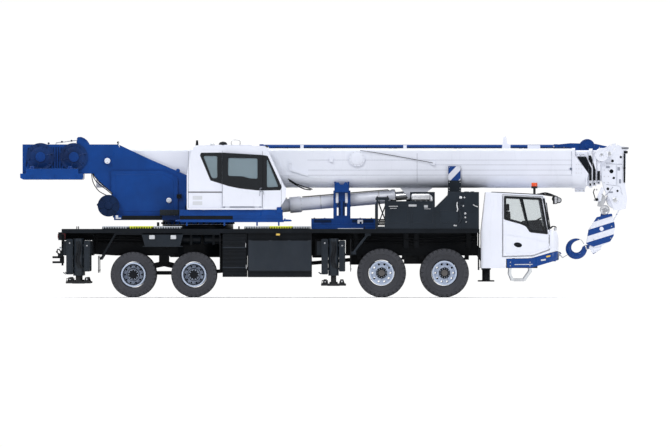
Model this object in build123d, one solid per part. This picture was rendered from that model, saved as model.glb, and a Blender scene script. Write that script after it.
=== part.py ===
# Four-axle truck-mounted mobile crane, road position.
# Units are millimetres; +X is forward, +Z is up, z = 0 is the ground, y = 0 is the centre plane.
# The operator's cab is on the -Y side and the stowed jib on the +Y side.
import math
import os

from build123d import *

os.makedirs("parts", exist_ok=True)

# Overall sizes
half_width = 1400.0
deck_top = 1640.0
deck_thickness = 60.0
deck_rear = -6295.0
deck_front = 3700.0
running_gap = 0.3
moving_gap = 10.0

# Wheels: x of the axle, outer radius, tyre width, twin or single
front_tyre_radius = 585.0
rear_tyre_radius = 545.0
front_tyre_width = 430.0
rear_tyre_width = 290.0
twin_spacing = 340.0
rim_radius = 295.0
rim_flange = 16.0
rim_share = 0.86
hub_inset = 40.0
rear_hub_inner = 150.0
rear_hub_outer = 250.0
rim_seat = rim_radius - rim_flange - running_gap
axle_x = {"axle_1": 2865.0, "axle_2": 1360.0, "axle_3": -3130.0, "axle_4": -4580.0}
steered = ("axle_1", "axle_2")
kingpin_y = half_width - 500.0
kingpin_radius = 45.0

# Chassis frame
rail_y = 380.0
rail_width = 90.0
rail_bottom = 1000.0
rail_top = deck_top - deck_thickness
front_rail_end = 4200.0
front_rail_top = 900.0

# Outriggers: x of the jack, jack side offset, beam height, float height at rest
outriggers = {
    "rear": {"x": -5895.0, "box_rear": -6295.0, "box_front": -5540.0, "bottom": 700.0, "float": 330.0},
    "front": {"x": 210.0, "box_rear": -230.0, "box_front": 530.0, "bottom": 660.0, "float": 275.0},
}
jack_y = half_width - 165.0
outrigger_half = half_width - 305.0
jack_barrel = 190.0
jack_rod = 130.0
float_radius = 150.0
float_thickness = 50.0
beam_height = 300.0

# Heights that the boom, its foot, the tail and the stowed jib share
boom_top = 3565.0
boom_bottom = boom_top - 940.0
boom_width = 860.0
tail_top = boom_top + 100.0
tail_bottom = tail_top - 700.0

# Slewing ring and frame
slew_x = -3045.0
ring_radius = 850.0
ring_bore = ring_radius - 250.0
ring_split = 1745.0
ring_top = 1850.0
base_plate_top = 1960.0
frame_plate_y = boom_width / 2 + 40.0
frame_plate = 50.0
tail_rear = -7245.0
counterweight_bottom = tail_bottom - 145.0
counterweight_half_width = half_width - 200.0
winch_x = (-6815.0, -6015.0)
winch_z = tail_top - 300.0
winch_flange = 320.0
winch_hub = 118.0

# Boom: foot pin, lift cylinder pins and the five sections
boom_foot = (-5210.0, boom_top - 295.0)
lift_foot = (-2685.0, 2055.0)
lift_eye = (2095.0, boom_bottom - 170.0)
boom_wall = 20.0
section_step_width = 70.0
section_step_height = 80.0
boom_rear = -5480.0
base_front = 6320.0
section_rear = {2: -4950.0, 3: -4800.0, 4: -4650.0, 5: -4500.0}
section_front = {1: 6240.0, 2: 6420.0, 3: 6515.0, 4: 6610.0, 5: 6700.0}
pin_radius = 85.0
pin_clearance = 1.0
lift_bore = 156.0
lift_rod_radius = 105.0
cradle_gap = 200.0

# Boom head and hook
head_half_width = boom_width / 2 - 2 * section_step_width
head_plate = 30.0
top_sheave = (6820.0, boom_top - 125.0, 130.0)
side_sheave = (6635.0, boom_top - 145.0)
side_sheave_radius = 160.0
hook_pivot = (6960.0, boom_top - 1235.0)
lower_sheave = (*hook_pivot, 190.0)
rope_diameter = 24.0
hook_sheave = (6720.0, 2095.0, 115.0)

# Engine hood
hood_top = 2525.0
silencer_shelf = 1120.0
post_inner = boom_width / 2 + 12.0
post_outer = post_inner + 42.0

# Driver's cab
cab_half_width = half_width - 160.0
seat_y = cab_half_width - 590.0
cab_wall = 50.0
cab_corner = 215.0
hinge_x = 5366.0
hinge_y = cab_half_width + 10.0
hinge_heights = (1230.0, 1560.0)
door_thickness = 60.0
door_gap = 12.0

# Operator's cab
op_cab_inner = -(frame_plate_y + 110.0)
op_cab_outer = -(half_width - 70.0)
op_wall = 40.0
op_door_thickness = 40.0


# Solid helpers


def block(x0, x1, y0, y1, z0, z1):
    """Box from its low and high limits."""
    centre = Pos((x0 + x1) / 2, (y0 + y1) / 2, (z0 + z1) / 2)
    return centre * Box(x1 - x0, y1 - y0, z1 - z0)


def side_face(points, y=0.0):
    """Closed outline of (x, z) points on the plane at y."""
    line = Polyline([(x, y, z) for x, z in points], close=True)
    return make_face(line)


def plate(points, y0, y1):
    """Outline of (x, z) points, extruded from y0 to y1."""
    return extrude(side_face(points, y0), amount=y1 - y0, dir=(0, 1, 0))


def rod(start, end, diameter):
    """Round bar between two points."""
    axis = Vector(*end) - Vector(*start)
    base = Plane(origin=start, z_dir=axis)
    return base * Cylinder(diameter / 2, axis.length, align=(Align.CENTER, Align.CENTER, Align.MIN))


def cross_pin(x, z, radius, y0, y1):
    """Round bar along Y."""
    return rod((x, y0, z), (x, y1, z), 2 * radius)


def group(*shapes):
    """One compound of the solids of all shapes."""
    return Compound([solid for shape in shapes for solid in shape.solids()])


def side_block(side, x0, x1, inner, outer, z0, z1):
    """Box on one side, between two distances from the centre plane."""
    return block(x0, x1, *sorted((side * inner, side * outer)), z0, z1)


def side_plate(side, points, inner, outer):
    """Outline of (x, z) points on one side, between two distances from the centre plane."""
    return plate(points, *sorted((side * inner, side * outer)))


def save(shape, node):
    """Write one sub-part."""
    export_step(shape, f"parts/{node}.step")


# Wheels


def tyre(radius, width, centre):
    """Tyre with a rounded shoulder, its bead seated outside the rim."""
    half = width / 2
    bead = half * rim_share - rim_flange - running_gap
    shoulder = 0.16 * radius
    wall = [
        (rim_seat + running_gap, -bead),
        (rim_radius + 2, -bead),
        (rim_radius + 16, -half * 0.92),
        (radius - 1.25 * shoulder, -half),
        (radius - 0.5 * shoulder, -half * 0.97),
        (radius - 0.1 * shoulder, -half * 0.82),
        (radius, -half * 0.7),
    ]
    profile = wall + [(r, -y) for r, y in reversed(wall)]
    face = make_face(Polyline([(r, y, 0) for r, y in profile], close=True))
    return Pos(*centre) * revolve(face, axis=Axis.Y)


def disc_profile(points):
    """Solid of revolution about Y from (radius, y) points."""
    face = make_face(Polyline([(r, y, 0) for r, y in points], close=True))
    return revolve(face, axis=Axis.Y)


def rim_barrel(half, outer):
    """Rim barrel with two flanges."""
    return [
        (outer - 22, -half),
        (outer + rim_flange, -half),
        (outer + rim_flange, -half + rim_flange),
        (outer, -half + rim_flange),
        (outer, half - rim_flange),
        (outer + rim_flange, half - rim_flange),
        (outer + rim_flange, half),
        (outer - 22, half),
    ]


def front_rim(side):
    """Shallow steel disc wheel with hand holes, nuts, hub and cap; side is the outward sign of y."""
    half = front_tyre_width / 2 * rim_share
    barrel = disc_profile(rim_barrel(half, rim_seat))
    out = side * 120.0
    rim_out = out - 40 * side
    disc = disc_profile([(60, out - 12), (270, rim_out - 12), (270, rim_out + 6), (60, out + 6)])
    rim = barrel + disc
    for index in range(10):
        turn = Rot(0, 36 * index, 0)
        rim -= turn * cross_pin(215, 0, 26, -half - 50, half + 50)
    hub = cross_pin(0, 0, 128, *sorted((-side * (half - hub_inset), side * (half - 30))))
    cap = cross_pin(0, 0, 76, *sorted((0, side * (half + 12))))
    return rim + hub + cap


def rear_rim(side):
    """Twin wheel: two rim barrels on a recessed disc with a driven hub; side is the outward sign of y."""
    half = rear_tyre_width / 2 * rim_share
    barrel = disc_profile(rim_barrel(half, rim_seat))
    offset = twin_spacing / 2
    disc = disc_profile([(60, -14), (270, -14), (270, 14), (60, 14)])
    outer = Pos(0, offset, 0) * barrel + Pos(0, -offset, 0) * barrel
    web = Pos(0, 30, 0) * disc + Pos(0, -30, 0) * disc
    spacer = disc_profile([(255, -offset), (275, -offset), (275, offset), (255, offset)])
    low, high = sorted((-side * rear_hub_inner, side * rear_hub_outer))
    hub = cross_pin(0, 0, 132, low, high)
    return outer + web + spacer + hub


def wheel_centre(axle, side):
    """Centre of a wheel body: x, y, z."""
    if axle in steered:
        return (axle_x[axle], side * (half_width - front_tyre_width / 2), front_tyre_radius)
    return (axle_x[axle], side * (half_width - rear_tyre_width / 2 - twin_spacing / 2), rear_tyre_radius)


def make_wheels():
    """Four single front wheels and four twin rear wheels."""
    for axle in axle_x:
        for side, name in ((-1, "right"), (1, "left")):
            centre = wheel_centre(axle, side)
            if axle in steered:
                tyres = tyre(front_tyre_radius, front_tyre_width, centre)
                rim = Pos(*centre) * front_rim(side)
            else:
                half = twin_spacing / 2
                tyres = group(
                    tyre(rear_tyre_radius, rear_tyre_width, (centre[0], centre[1] - half, centre[2])),
                    tyre(rear_tyre_radius, rear_tyre_width, (centre[0], centre[1] + half, centre[2])),
                )
                rim = Pos(*centre) * rear_rim(side)
            save(tyres, f"tyre_{axle}_{name}")
            save(rim, f"rim_{axle}_{name}")


# Knuckles and driveline


def knuckle(axle, side):
    """Steering knuckle: kingpin boss, brake drum and stub that enters the hub."""
    x, y, z = wheel_centre(axle, side)
    hub_back = abs(y) - front_tyre_width / 2 * rim_share + hub_inset - running_gap
    pin = rod((x, side * kingpin_y, z - 165), (x, side * kingpin_y, z + 165), 2 * kingpin_radius)
    drum = cross_pin(x, z, 190, *sorted((side * (kingpin_y + 95), side * hub_back)))
    body = pin + drum
    for low, high in ((z - 165, z - 115), (z + 115, z + 165)):
        body += block(x - 60, x + 60, *sorted((side * (kingpin_y - 60), side * (kingpin_y + 96))), low, high)
    arm = block(x - 260, x, *sorted((side * (kingpin_y - 60), side * (kingpin_y - 10))), z - 165, z - 125)
    return body + arm


def make_knuckles():
    """Knuckles of the two steered axles."""
    for axle in steered:
        for side, name in ((-1, "right"), (1, "left")):
            save(knuckle(axle, side), f"knuckle_{axle}_{name}")


def leaf_spring(x, side, seat_z, length_share):
    """Leaf pack on a front axle, with its two hangers under the frame rail."""
    reach = 540.0 * length_share
    y0, y1 = sorted((side * (rail_y - 35), side * (rail_y + 35)))
    outline = [
        (x - reach, 935),
        (x - 120, seat_z + 60),
        (x - 110, seat_z),
        (x + 110, seat_z),
        (x + 120, seat_z + 60),
        (x + reach, 935),
        (x + reach, 965),
        (x, seat_z + 140),
        (x - reach, 965),
    ]
    spring = plate(outline, y0, y1)
    for end in (-reach, reach):
        spring += block(x + end - 50, x + end + 50, y0, y1, 900, rail_bottom - running_gap)
    return spring


def bogie_spring(side):
    """Rear bogie's leaf pack across both axles, with its trunnion under the frame rail."""
    y0, y1 = sorted((side * (rail_y - 35), side * (rail_y + 35)))
    x3, x4 = axle_x["axle_3"], axle_x["axle_4"]
    middle = (x3 + x4) / 2
    seat = rear_tyre_radius + 60
    outline = [
        (x4 - 80, seat),
        (x4 + 80, seat),
        (middle, 740),
        (x3 - 80, seat),
        (x3 + 80, seat),
        (x3 + 80, seat + 80),
        (middle, 880),
        (x4 - 80, seat + 80),
    ]
    return plate(outline, y0, y1) + block(middle - 120, middle + 120, y0, y1, 760, rail_bottom - running_gap)


def make_driveline():
    """Axle beams, drive heads, propshaft and the engine block."""
    pieces = []
    shaft_z = rear_tyre_radius + 40
    rear = rod((axle_x["axle_3"] + 150, 0, shaft_z), (620, 0, 900), 90)
    rear += block(axle_x["axle_4"] + 150, axle_x["axle_3"] - 150, -45, 45, shaft_z - 45, shaft_z + 45)
    rear += block(600, 1000, -220, 220, 780, rail_bottom + 100 - running_gap)
    for s in (-1, 1):
        rear += bogie_spring(s)
    for axle, x in axle_x.items():
        z = front_tyre_radius if axle in steered else rear_tyre_radius
        if axle in steered:
            beam = block(x - 70, x + 70, -kingpin_y, kingpin_y, z - 70, z + 70)
            for s in (-1, 1):
                beam += rod((x, s * kingpin_y, z - 110), (x, s * kingpin_y, z + 110), 160)
                beam -= rod((x, s * kingpin_y, z - 120), (x, s * kingpin_y, z + 120), 2 * kingpin_radius + 2)
                beam += leaf_spring(x, s, z + 69, 1.0)
            pieces.append(beam)
            continue
        reach = wheel_centre(axle, 1)[1] - rear_hub_inner - running_gap
        tube = cross_pin(x, z, 95, -reach, reach)
        rear = rear + tube + Pos(x, 0, z) * Sphere(235)
    pieces.append(rear)
    inner = rail_y - rail_width / 2 - running_gap
    pieces.append(block(1900, 3250, -inner, inner, 800, 2050))
    save(group(*pieces), "driveline")


# Carrier frame and bodywork


def outrigger_box(spec):
    """Transverse box that carries two beams side by side, one reaching out each way."""
    x0, x1 = spec["box_rear"], spec["box_front"]
    z1 = rail_bottom + 395
    z0 = z1 - beam_height - 2 * 45
    return block(x0, x1, -outrigger_half, outrigger_half, z0, z1)


def slot_cuts(spec):
    """The two beam tunnels of one outrigger box."""
    z1 = rail_bottom + 395 - 30
    z0 = z1 - beam_height - 30
    return [block(low, high, -half_width, half_width, z0, z1) for low, high in beam_slots(spec)]


def beam_slots(spec):
    """X limits of the right-hand and the left-hand beam slot."""
    x0, x1 = spec["box_rear"], spec["box_front"]
    middle = (x0 + x1) / 2
    return (x0 + 30, middle - 15), (middle + 15, x1 - 30)


def slide_pads(spec):
    """Wear pads at the mouths of the tunnels, on which the beams slide."""
    z1 = rail_bottom + 395 - 45 - beam_height - running_gap
    pads = []
    for low, high in beam_slots(spec):
        for s in (-1, 1):
            pads.append(side_block(s, low, high, outrigger_half - 95, outrigger_half - 20, z1 - 16, z1))
    return pads


def make_chassis():
    """Ladder frame, outrigger boxes, lower slewing ring, tow pintle and the front jack's housing."""
    rails = []
    for side in (-1, 1):
        y0, y1 = sorted((side * (rail_y - rail_width / 2), side * (rail_y + rail_width / 2)))
        outline = [
            (deck_rear + 20, rail_top),
            (deck_rear + 20, rail_bottom + 80),
            (-5000, rail_bottom),
            (3650, rail_bottom),
            (3850, 700),
            (front_rail_end + 900, 700),
            (front_rail_end + 900, front_rail_top),
            (4050, front_rail_top),
            (3660, 1240),
            (3600, rail_top),
        ]
        rails.append(plate(outline, y0, y1))
    frame = rails[0] + rails[1]
    inner = rail_y - rail_width / 2
    for x in (-6230, -5380, -3860, -2300, -1200, 700, 3450):
        frame += block(x - 60, x + 60, -inner - 1, inner + 1, rail_bottom + 100, rail_top - 120)
    frame += block(3760, 3980, -inner - 1, inner + 1, 660, 880)
    frame -= cross_jack_bore()
    for spec in outriggers.values():
        frame += outrigger_box(spec)
        for cut in slot_cuts(spec):
            frame -= cut
        for pad in slide_pads(spec):
            frame += pad
    ring = Pos(slew_x, 0, (deck_top + ring_split) / 2) * Cylinder(ring_radius, ring_split - deck_top)
    pedestal_bottom = rail_top - 300
    pedestal = Cylinder(ring_radius - 130, deck_top - pedestal_bottom)
    frame += ring + Pos(slew_x, 0, (pedestal_bottom + deck_top) / 2) * pedestal
    bore = Pos(slew_x, 0, 1500) * Cylinder(ring_bore, 800)
    frame -= bore
    rear_beam = block(deck_rear - 40, deck_rear + 60, 200 - half_width, half_width - 200, 1370, 1500)
    jaw = block(-6535, deck_rear + 40, -85, 85, 815, 985)
    jaw += block(deck_rear - 20, deck_rear + 20, -250, 250, 760, 1380)
    jaw -= block(-6600, -6340, -90, 90, 865, 935)
    jaw -= rod((-6440, 0, 700), (-6440, 0, 1100), 2 * 20.25)
    for s in (-1, 1):
        frame += side_block(s, 4500, 4560, inner, inner + rail_width, front_rail_top - 1, 939.6)
    return frame + rear_beam + jaw


def cross_jack_bore():
    """Bore for the front centre jack."""
    return rod((3870, 0, 500), (3870, 0, 1000), 2 * (95 + 0.4))


def make_bodywork():
    """Deck plates with tread strips, rear fenders, side lockers and tank."""
    outer = half_width - 20
    thick = (deck_top - deck_thickness, deck_top)
    deck = block(deck_rear, 1200, -outer, outer, *thick)
    ring_hole = Pos(slew_x, 0, deck_top) * Cylinder(ring_radius + 15, 300)
    deck -= ring_hole
    side_deck = [side_block(s, 1200, deck_front, 530, outer, *thick) for s in (-1, 1)]
    skirt = []
    for s in (-1, 1):
        skirt.append(side_block(s, deck_rear, deck_front, outer - 40, outer, 1540, thick[0] + 1))
    strips = []
    for low, high in ((-5325, -3415), (-1925, -340)):
        for s in (-1, 1):
            strips.append(side_block(s, low, high, 980, outer, deck_top, deck_top + 40))
    pieces = deck
    for extra in side_deck + skirt + strips:
        pieces += extra
    lockers = []
    for s in (-1, 1):
        box = side_block(s, -1845, -310, 660, half_width - 30, 610, 1375)
        box += side_block(s, -1845, -310, 660, half_width - 70, 485, 611)
        box += side_block(s, -1845, -310, 660, half_width - 120, 1374, rail_top - running_gap)
        lockers.append(box)
        lockers.append(ribbed_box(s))
    return group(pieces, *lockers, *[fender(s) for s in (-1, 1)])


def ribbed_box(side):
    """Ribbed case behind the large locker."""
    case = side_block(side, -2445, -1865, 660, half_width - 100, 490, rail_top - running_gap)
    for index in range(11):
        z = 540 + 95 * index
        case += side_block(side, -2435, -1875, half_width - 101, half_width - 78, z, z + 42)
    return case


def fender(side):
    """Rear fender: a folded sheet over the twin wheels with a mud flap at its end."""
    y0, y1 = sorted((side * (half_width - 30), side * 745))
    outer = [
        (-5395, 900),
        (-5020, 1540 - running_gap),
        (-3980, 1540 - running_gap),
        (-2500, 1540 - running_gap),
        (-2500, 1500),
        (-4990, 1500),
        (-5345, 900),
    ]
    return plate(outer, y0, y1)


def make_outriggers():
    """Beams that slide out sideways and jacks that slide down."""
    for end, spec in outriggers.items():
        slots = beam_slots(spec)
        z1 = rail_bottom + 395 - 45
        z0 = z1 - beam_height
        for side, name, (low, high) in ((-1, "right", slots[0]), (1, "left", slots[1])):
            x0, x1 = low + moving_gap, high - moving_gap
            beam = side_block(side, x0, x1, jack_y - 60, 15 - outrigger_half, z0, z1)
            x = spec["x"]
            barrel_low = 520.0
            tube = rod((x, side * jack_y, barrel_low), (x, side * jack_y, z1 + 60), jack_barrel + 60)
            neck = side_block(side, x0, x1, jack_y - 90, jack_y - 20, z0 - 30, z1)
            head = beam + neck + tube
            head -= rod((x, side * jack_y, barrel_low - 10), (x, side * jack_y, z1 - 60), jack_rod + 0.8)
            save(head, f"outrigger_beam_{end}_{name}")
            ground = spec["float"]
            y = side * jack_y
            plate_top = ground + float_thickness
            leg = rod((x, y, plate_top - 5), (x, y, z1 - 160), jack_rod)
            foot = rod((x, y, ground), (x, y, plate_top), 2 * float_radius)
            collar = rod((x, y, plate_top - 1), (x, y, ground + 90), 200)
            save(leg + foot + collar, f"jack_{end}_{name}")
    leg = rod((3870, 0, 400), (3870, 0, 1150), 190)
    foot = rod((3870, 0, 375), (3870, 0, 410), 400)
    save(leg + foot, "jack_front_centre")


def make_cradle():
    """Boom cradle: pedestal with an arm on each side of the lift cylinder, hollowed to the boom's shape."""
    base = block(-325, 1210, -620, 620, deck_top, 1740) + block(-100, 980, -480, 480, 1739, 1895)
    post = block(205, 615, -360, 360, 1894, 2560) - block(290, 530, -400, 400, 1960, 2360)
    cradle = base + post + block(245, 565, -520, 520, 2520, boom_bottom + 75)
    horn = [
        (245, 2600),
        (565, 2600),
        (540, boom_bottom + 135),
        (480, boom_bottom + 135),
        (440, boom_bottom + 76),
        (370, boom_bottom + 76),
        (330, boom_bottom + 135),
        (270, boom_bottom + 135),
    ]
    for s in (-1, 1):
        cradle += side_plate(s, horn, 460, 520)
    cradle -= block(100, 700, -cradle_gap, cradle_gap, 1960, 2900)
    return cradle - boom_section(1, 100, 700, -6)


def make_hood():
    """Engine hood, stowage rack and the two posts behind the driver's cab."""
    outer = half_width - 40
    profile = [
        (1480, deck_top),
        (1480, 2305),
        (2635, 2305),
        (2635, 2160),
        (2660, 2165),
        (2950, 2455),
        (2955, hood_top),
        (3690, hood_top),
        (3690, deck_top),
    ]
    hood = plate(profile, -outer, outer)
    hood += block(2045, 2635, -silencer_shelf, silencer_shelf, 2304, hood_top)
    hood -= block(1850, 3300, -rail_y, rail_y, 700, 2100)
    for s in (-1, 1):
        hood += side_block(s, 2955, 3270, post_inner, post_outer, hood_top - 1, 2800)
        hood += side_block(s, 2960, 3255, post_inner, post_outer, 2799, 3145)
        for low, high, top in ((1560, 1980, 2200), (2100, 2580, 2240), (2760, 3200, 2080)):
            hood += side_block(s, low, high, outer - 1, outer + 8, 1780, top)
    rack = block(1215, 1540, -outer, outer, 2330, 2380)
    for x in (1235, 1480):
        for s in (-1, 1):
            rack += side_block(s, x, x + 40, outer - 40, outer, deck_top, 2331)
    rack += block(1215, 1540, -outer, outer, deck_top, deck_top + 60)
    rack += block(1440, 1490, -outer, outer, 1700, 2331)
    hood += rack
    return hood - block(1100, 2750, -240, 240, 2100, 2700)


# Driver's cab


cab_side = [
    (3740, 700),
    (3740, 1560),
    (3850, 2520),
    (4260, 2500),
    (5220, 2450),
    (5275, 2390),
    (5370, 1635),
    (5555, 1575),
    (5595, 1415),
    (5590, 1125),
    (4985, 955),
    (4340, 935),
    (4340, 700),
]


def cab_volume(inset):
    """Cab body inset from its outer skin, with rounded front corners."""
    face = side_face(cab_side)
    if inset:
        face = offset(face, amount=-inset)
    half = cab_half_width - inset
    body = extrude(face, amount=half, dir=(0, 1, 0), both=True)
    plan = block(3000, 5595 - inset, -half, half, 0, 3000)
    corner = [e for e in plan.edges() if abs(e.length - 3000) < 1 and e.center().X > 5000]
    return body & fillet(corner, cab_corner - inset)


door_outline = [
    (4270, 990),
    (4270, 2440),
    (5195, 2395),
    (5360, 1640),
    (5360, 1150),
    (4980, 1010),
]
door_window = [
    (4330, 1900),
    (4330, 2385),
    (5150, 2345),
    (5290, 1560),
    (4930, 1600),
    (4840, 1740),
    (4690, 1800),
]
windscreen_limits = (1720.0, 2360.0)


def door_cut(side):
    """Doorway through one side wall."""
    grown = offset(side_face(door_outline), amount=door_gap)
    y0, y1 = sorted((side * (cab_half_width - cab_wall - 20), side * (cab_half_width + 20)))
    return Pos(0, y0, 0) * extrude(grown, amount=y1 - y0, dir=(0, 1, 0))


def windscreen_cut(inset):
    """Region of the front that the windscreen fills."""
    low, high = windscreen_limits
    half = cab_half_width - 110
    return block(4700, 5700, -half + inset, half - inset, low + inset, high - inset)


def make_cab_shell():
    """Hollow cab with doorways, windscreen opening, rear window and bunk step."""
    tunnel = block(3600, 4345, -520, 520, 500, 1260)
    hump = block(3600, 4345 + cab_wall, -520 - cab_wall, 520 + cab_wall, 500, 1260 + cab_wall)
    shell = (cab_volume(0) - tunnel) - (cab_volume(cab_wall) - hump)
    shell -= door_cut(-1)
    shell -= door_cut(1)
    front = windscreen_cut(0) & block(5150, 5700, -2000, 2000, 0, 3000)
    shell -= front
    for side in (-1, 1):
        for height in hinge_heights:
            y0, y1 = sorted((side * (cab_half_width - 20), side * (hinge_y + 2)))
            shell += block(hinge_x + 7, hinge_x + 28, y0, y1, height - 60, height - running_gap)
            shell += hinge_barrel(side, height - 60, height - running_gap)
    return shell


def hinge_barrel(side, low, high):
    """Part of a door hinge's barrel."""
    return rod((hinge_x, side * hinge_y, low), (hinge_x, side * hinge_y, high), 20)


def make_cab_glass():
    """Windscreen bent round the front corners."""
    outer = cab_volume(8)
    inner = cab_volume(20)
    return (outer - inner) & windscreen_cut(running_gap) & block(5150, 5700, -2000, 2000, 0, 3000)


def make_door(side):
    """One cab door, as thick as the whole door, with its window cut, and its pane."""
    outer_y = side * (cab_half_width - 1)
    inner_y = side * (cab_half_width - 1 - door_thickness)
    y0, y1 = sorted((outer_y, inner_y))
    panel = plate(door_outline, y0, y1)
    panel -= plate(door_window, y0 - 10, y1 + 10)
    for height in hinge_heights:
        y2, y3 = sorted((side * (cab_half_width - 20), side * (hinge_y + 2)))
        panel += block(hinge_x - 28, hinge_x - 7, y2, y3, height, height + 60)
        panel += hinge_barrel(side, height, height + 60)
    pane_face = offset(side_face(door_window), amount=-running_gap)
    middle = (y0 + y1) / 2
    pane = Pos(0, middle - 4, 0) * extrude(pane_face, amount=8, dir=(0, 1, 0))
    return panel, pane


def make_cab():
    """Shell, glass, doors and fittings."""
    save(make_cab_shell(), "driver_cab_shell")
    save(make_cab_glass(), "driver_cab_glass")
    for side, name in ((-1, "right"), (1, "left")):
        panel, pane = make_door(side)
        save(panel, f"driver_door_{name}")
        save(pane, f"driver_door_glass_{name}")
    save(make_cab_fittings(), "driver_cab_fittings")


def make_cab_fittings():
    """Seats, dash, steering wheel, mirrors, beacon base and wipers."""
    pieces = []
    for y in (-seat_y, seat_y):
        seat = block(4360, 4880, y - 240, y + 240, 1330, 1450)
        seat += block(4300, 4420, y - 240, y + 240, 1440, 2060)
        seat += plate([(4480, 989.8), (4760, 998.5), (4760, 1331), (4480, 1331)], y - 150, y + 150)
        pieces.append(seat)
    half = cab_half_width - 160
    dash = plate([(5060, 1300), (5000, 1640), (5220, 1700), (5320, 1560), (5400, 1300)], -half, half)
    dash += plate([(5200, 1200), (5541, 1200), (5543.9, 1380), (5200, 1500)], 80 - half, half - 80)
    pieces.append(dash)
    wheel = Plane(origin=(4990, -seat_y, 1790), z_dir=(-0.6, 0, 1)) * Torus(215, 18)
    spokes = Plane(origin=(4990, -seat_y, 1790), z_dir=(-0.6, 0, 1)) * Box(430, 40, 24)
    column = rod((4990, -seat_y, 1790), (5120, -seat_y, 1600), 60)
    pieces.append(wheel + spokes + column)
    for s in (-1, 1):
        arm = rod((5160, s * (cab_half_width - 120), 2478), (5520, s * (half_width - 90), 2425), 30)
        arm += side_block(s, 5110, 5200, cab_half_width - 160, cab_half_width - 80, 2455.8, 2490)
        pieces.append(arm + side_block(s, 5490, 5560, cab_half_width - 60, half_width - 2, 2235, 2425))
    y = 340 - cab_half_width
    beacon = rod((5020, y, 2462), (5020, y, 2620), 60)
    beacon += rod((5020, y, 2610), (5020, y, 2660), 150)
    pieces.append(beacon)
    dome = rod((5020, y, 2660 + running_gap), (5020, y, 2745), 140)
    pieces.append(dome)
    return group(*pieces)


bumper_side = [
    (4360, 925),
    (4885, 935),
    (4985, 945),
    (5450, 1075),
    (5592, 1110),
    (5592, 895),
    (5420, 850),
    (4985, 720),
    (4405, 705),
    (4360, 720),
]
step_loop = [
    (4415, 720),
    (4400, 560),
    (4470, 395),
    (4800, 395),
    (4960, 620),
    (4940, 730),
    (4880, 730),
    (4890, 640),
    (4760, 450),
    (4510, 450),
    (4460, 580),
    (4475, 720),
]


def make_bumper():
    """Front skirt bumper with tow shackle lug and hanging steps."""
    body = plate(bumper_side, -cab_half_width, cab_half_width)
    plan = block(3000, 5592, -cab_half_width, cab_half_width, 0, 3000)
    corner = [e for e in plan.edges() if abs(e.length - 3000) < 1 and e.center().X > 5000]
    body &= fillet(corner, cab_corner)
    inner = block(4300, 5532, -cab_half_width + 60, cab_half_width - 60, 600, 1200)
    corner = [e for e in inner.edges() if abs(e.length - 600) < 1 and e.center().X > 5000]
    bumper = body - fillet(corner, cab_corner - 60)
    cross = block(5100.3, 5540, -480, 480, 860, 960)
    bumper += cross
    lug = plate([(5480, 990), (5480, 1070), (5590, 1090), (5645, 1090), (5680, 1050), (5640, 1000)], -25, 25)
    lug -= cross_pin(5635, 1045, 18.0, -60, 60)
    bumper += lug
    for s in (-1, 1):
        bumper += side_plate(s, step_loop, cab_half_width - 40, cab_half_width)
        bumper += side_block(s, 4500, 4780, cab_half_width - 200, cab_half_width, 395, 430)
    return bumper


# Slewing frame and what it carries


slew_outline = [
    (tail_rear, tail_top),
    (-4950, tail_top),
    (-4195, tail_top - 355),
    (-3300, 2925),
    (-3300, 2420),
    (-2600, 2330),
    (-2395, 2215),
    (-2325, base_plate_top - 5),
    (-5115, base_plate_top - 5),
    (-5115, 2500),
    (-5275, 2635),
    (-5590, tail_bottom),
    (tail_rear, tail_bottom),
]


tail_lug = [
    (-5940, tail_top - 15),
    (-5940, tail_top + 155),
    (-5900, tail_top + 180),
    (-5660, tail_top + 25),
    (-5645, tail_top - 15),
]


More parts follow.
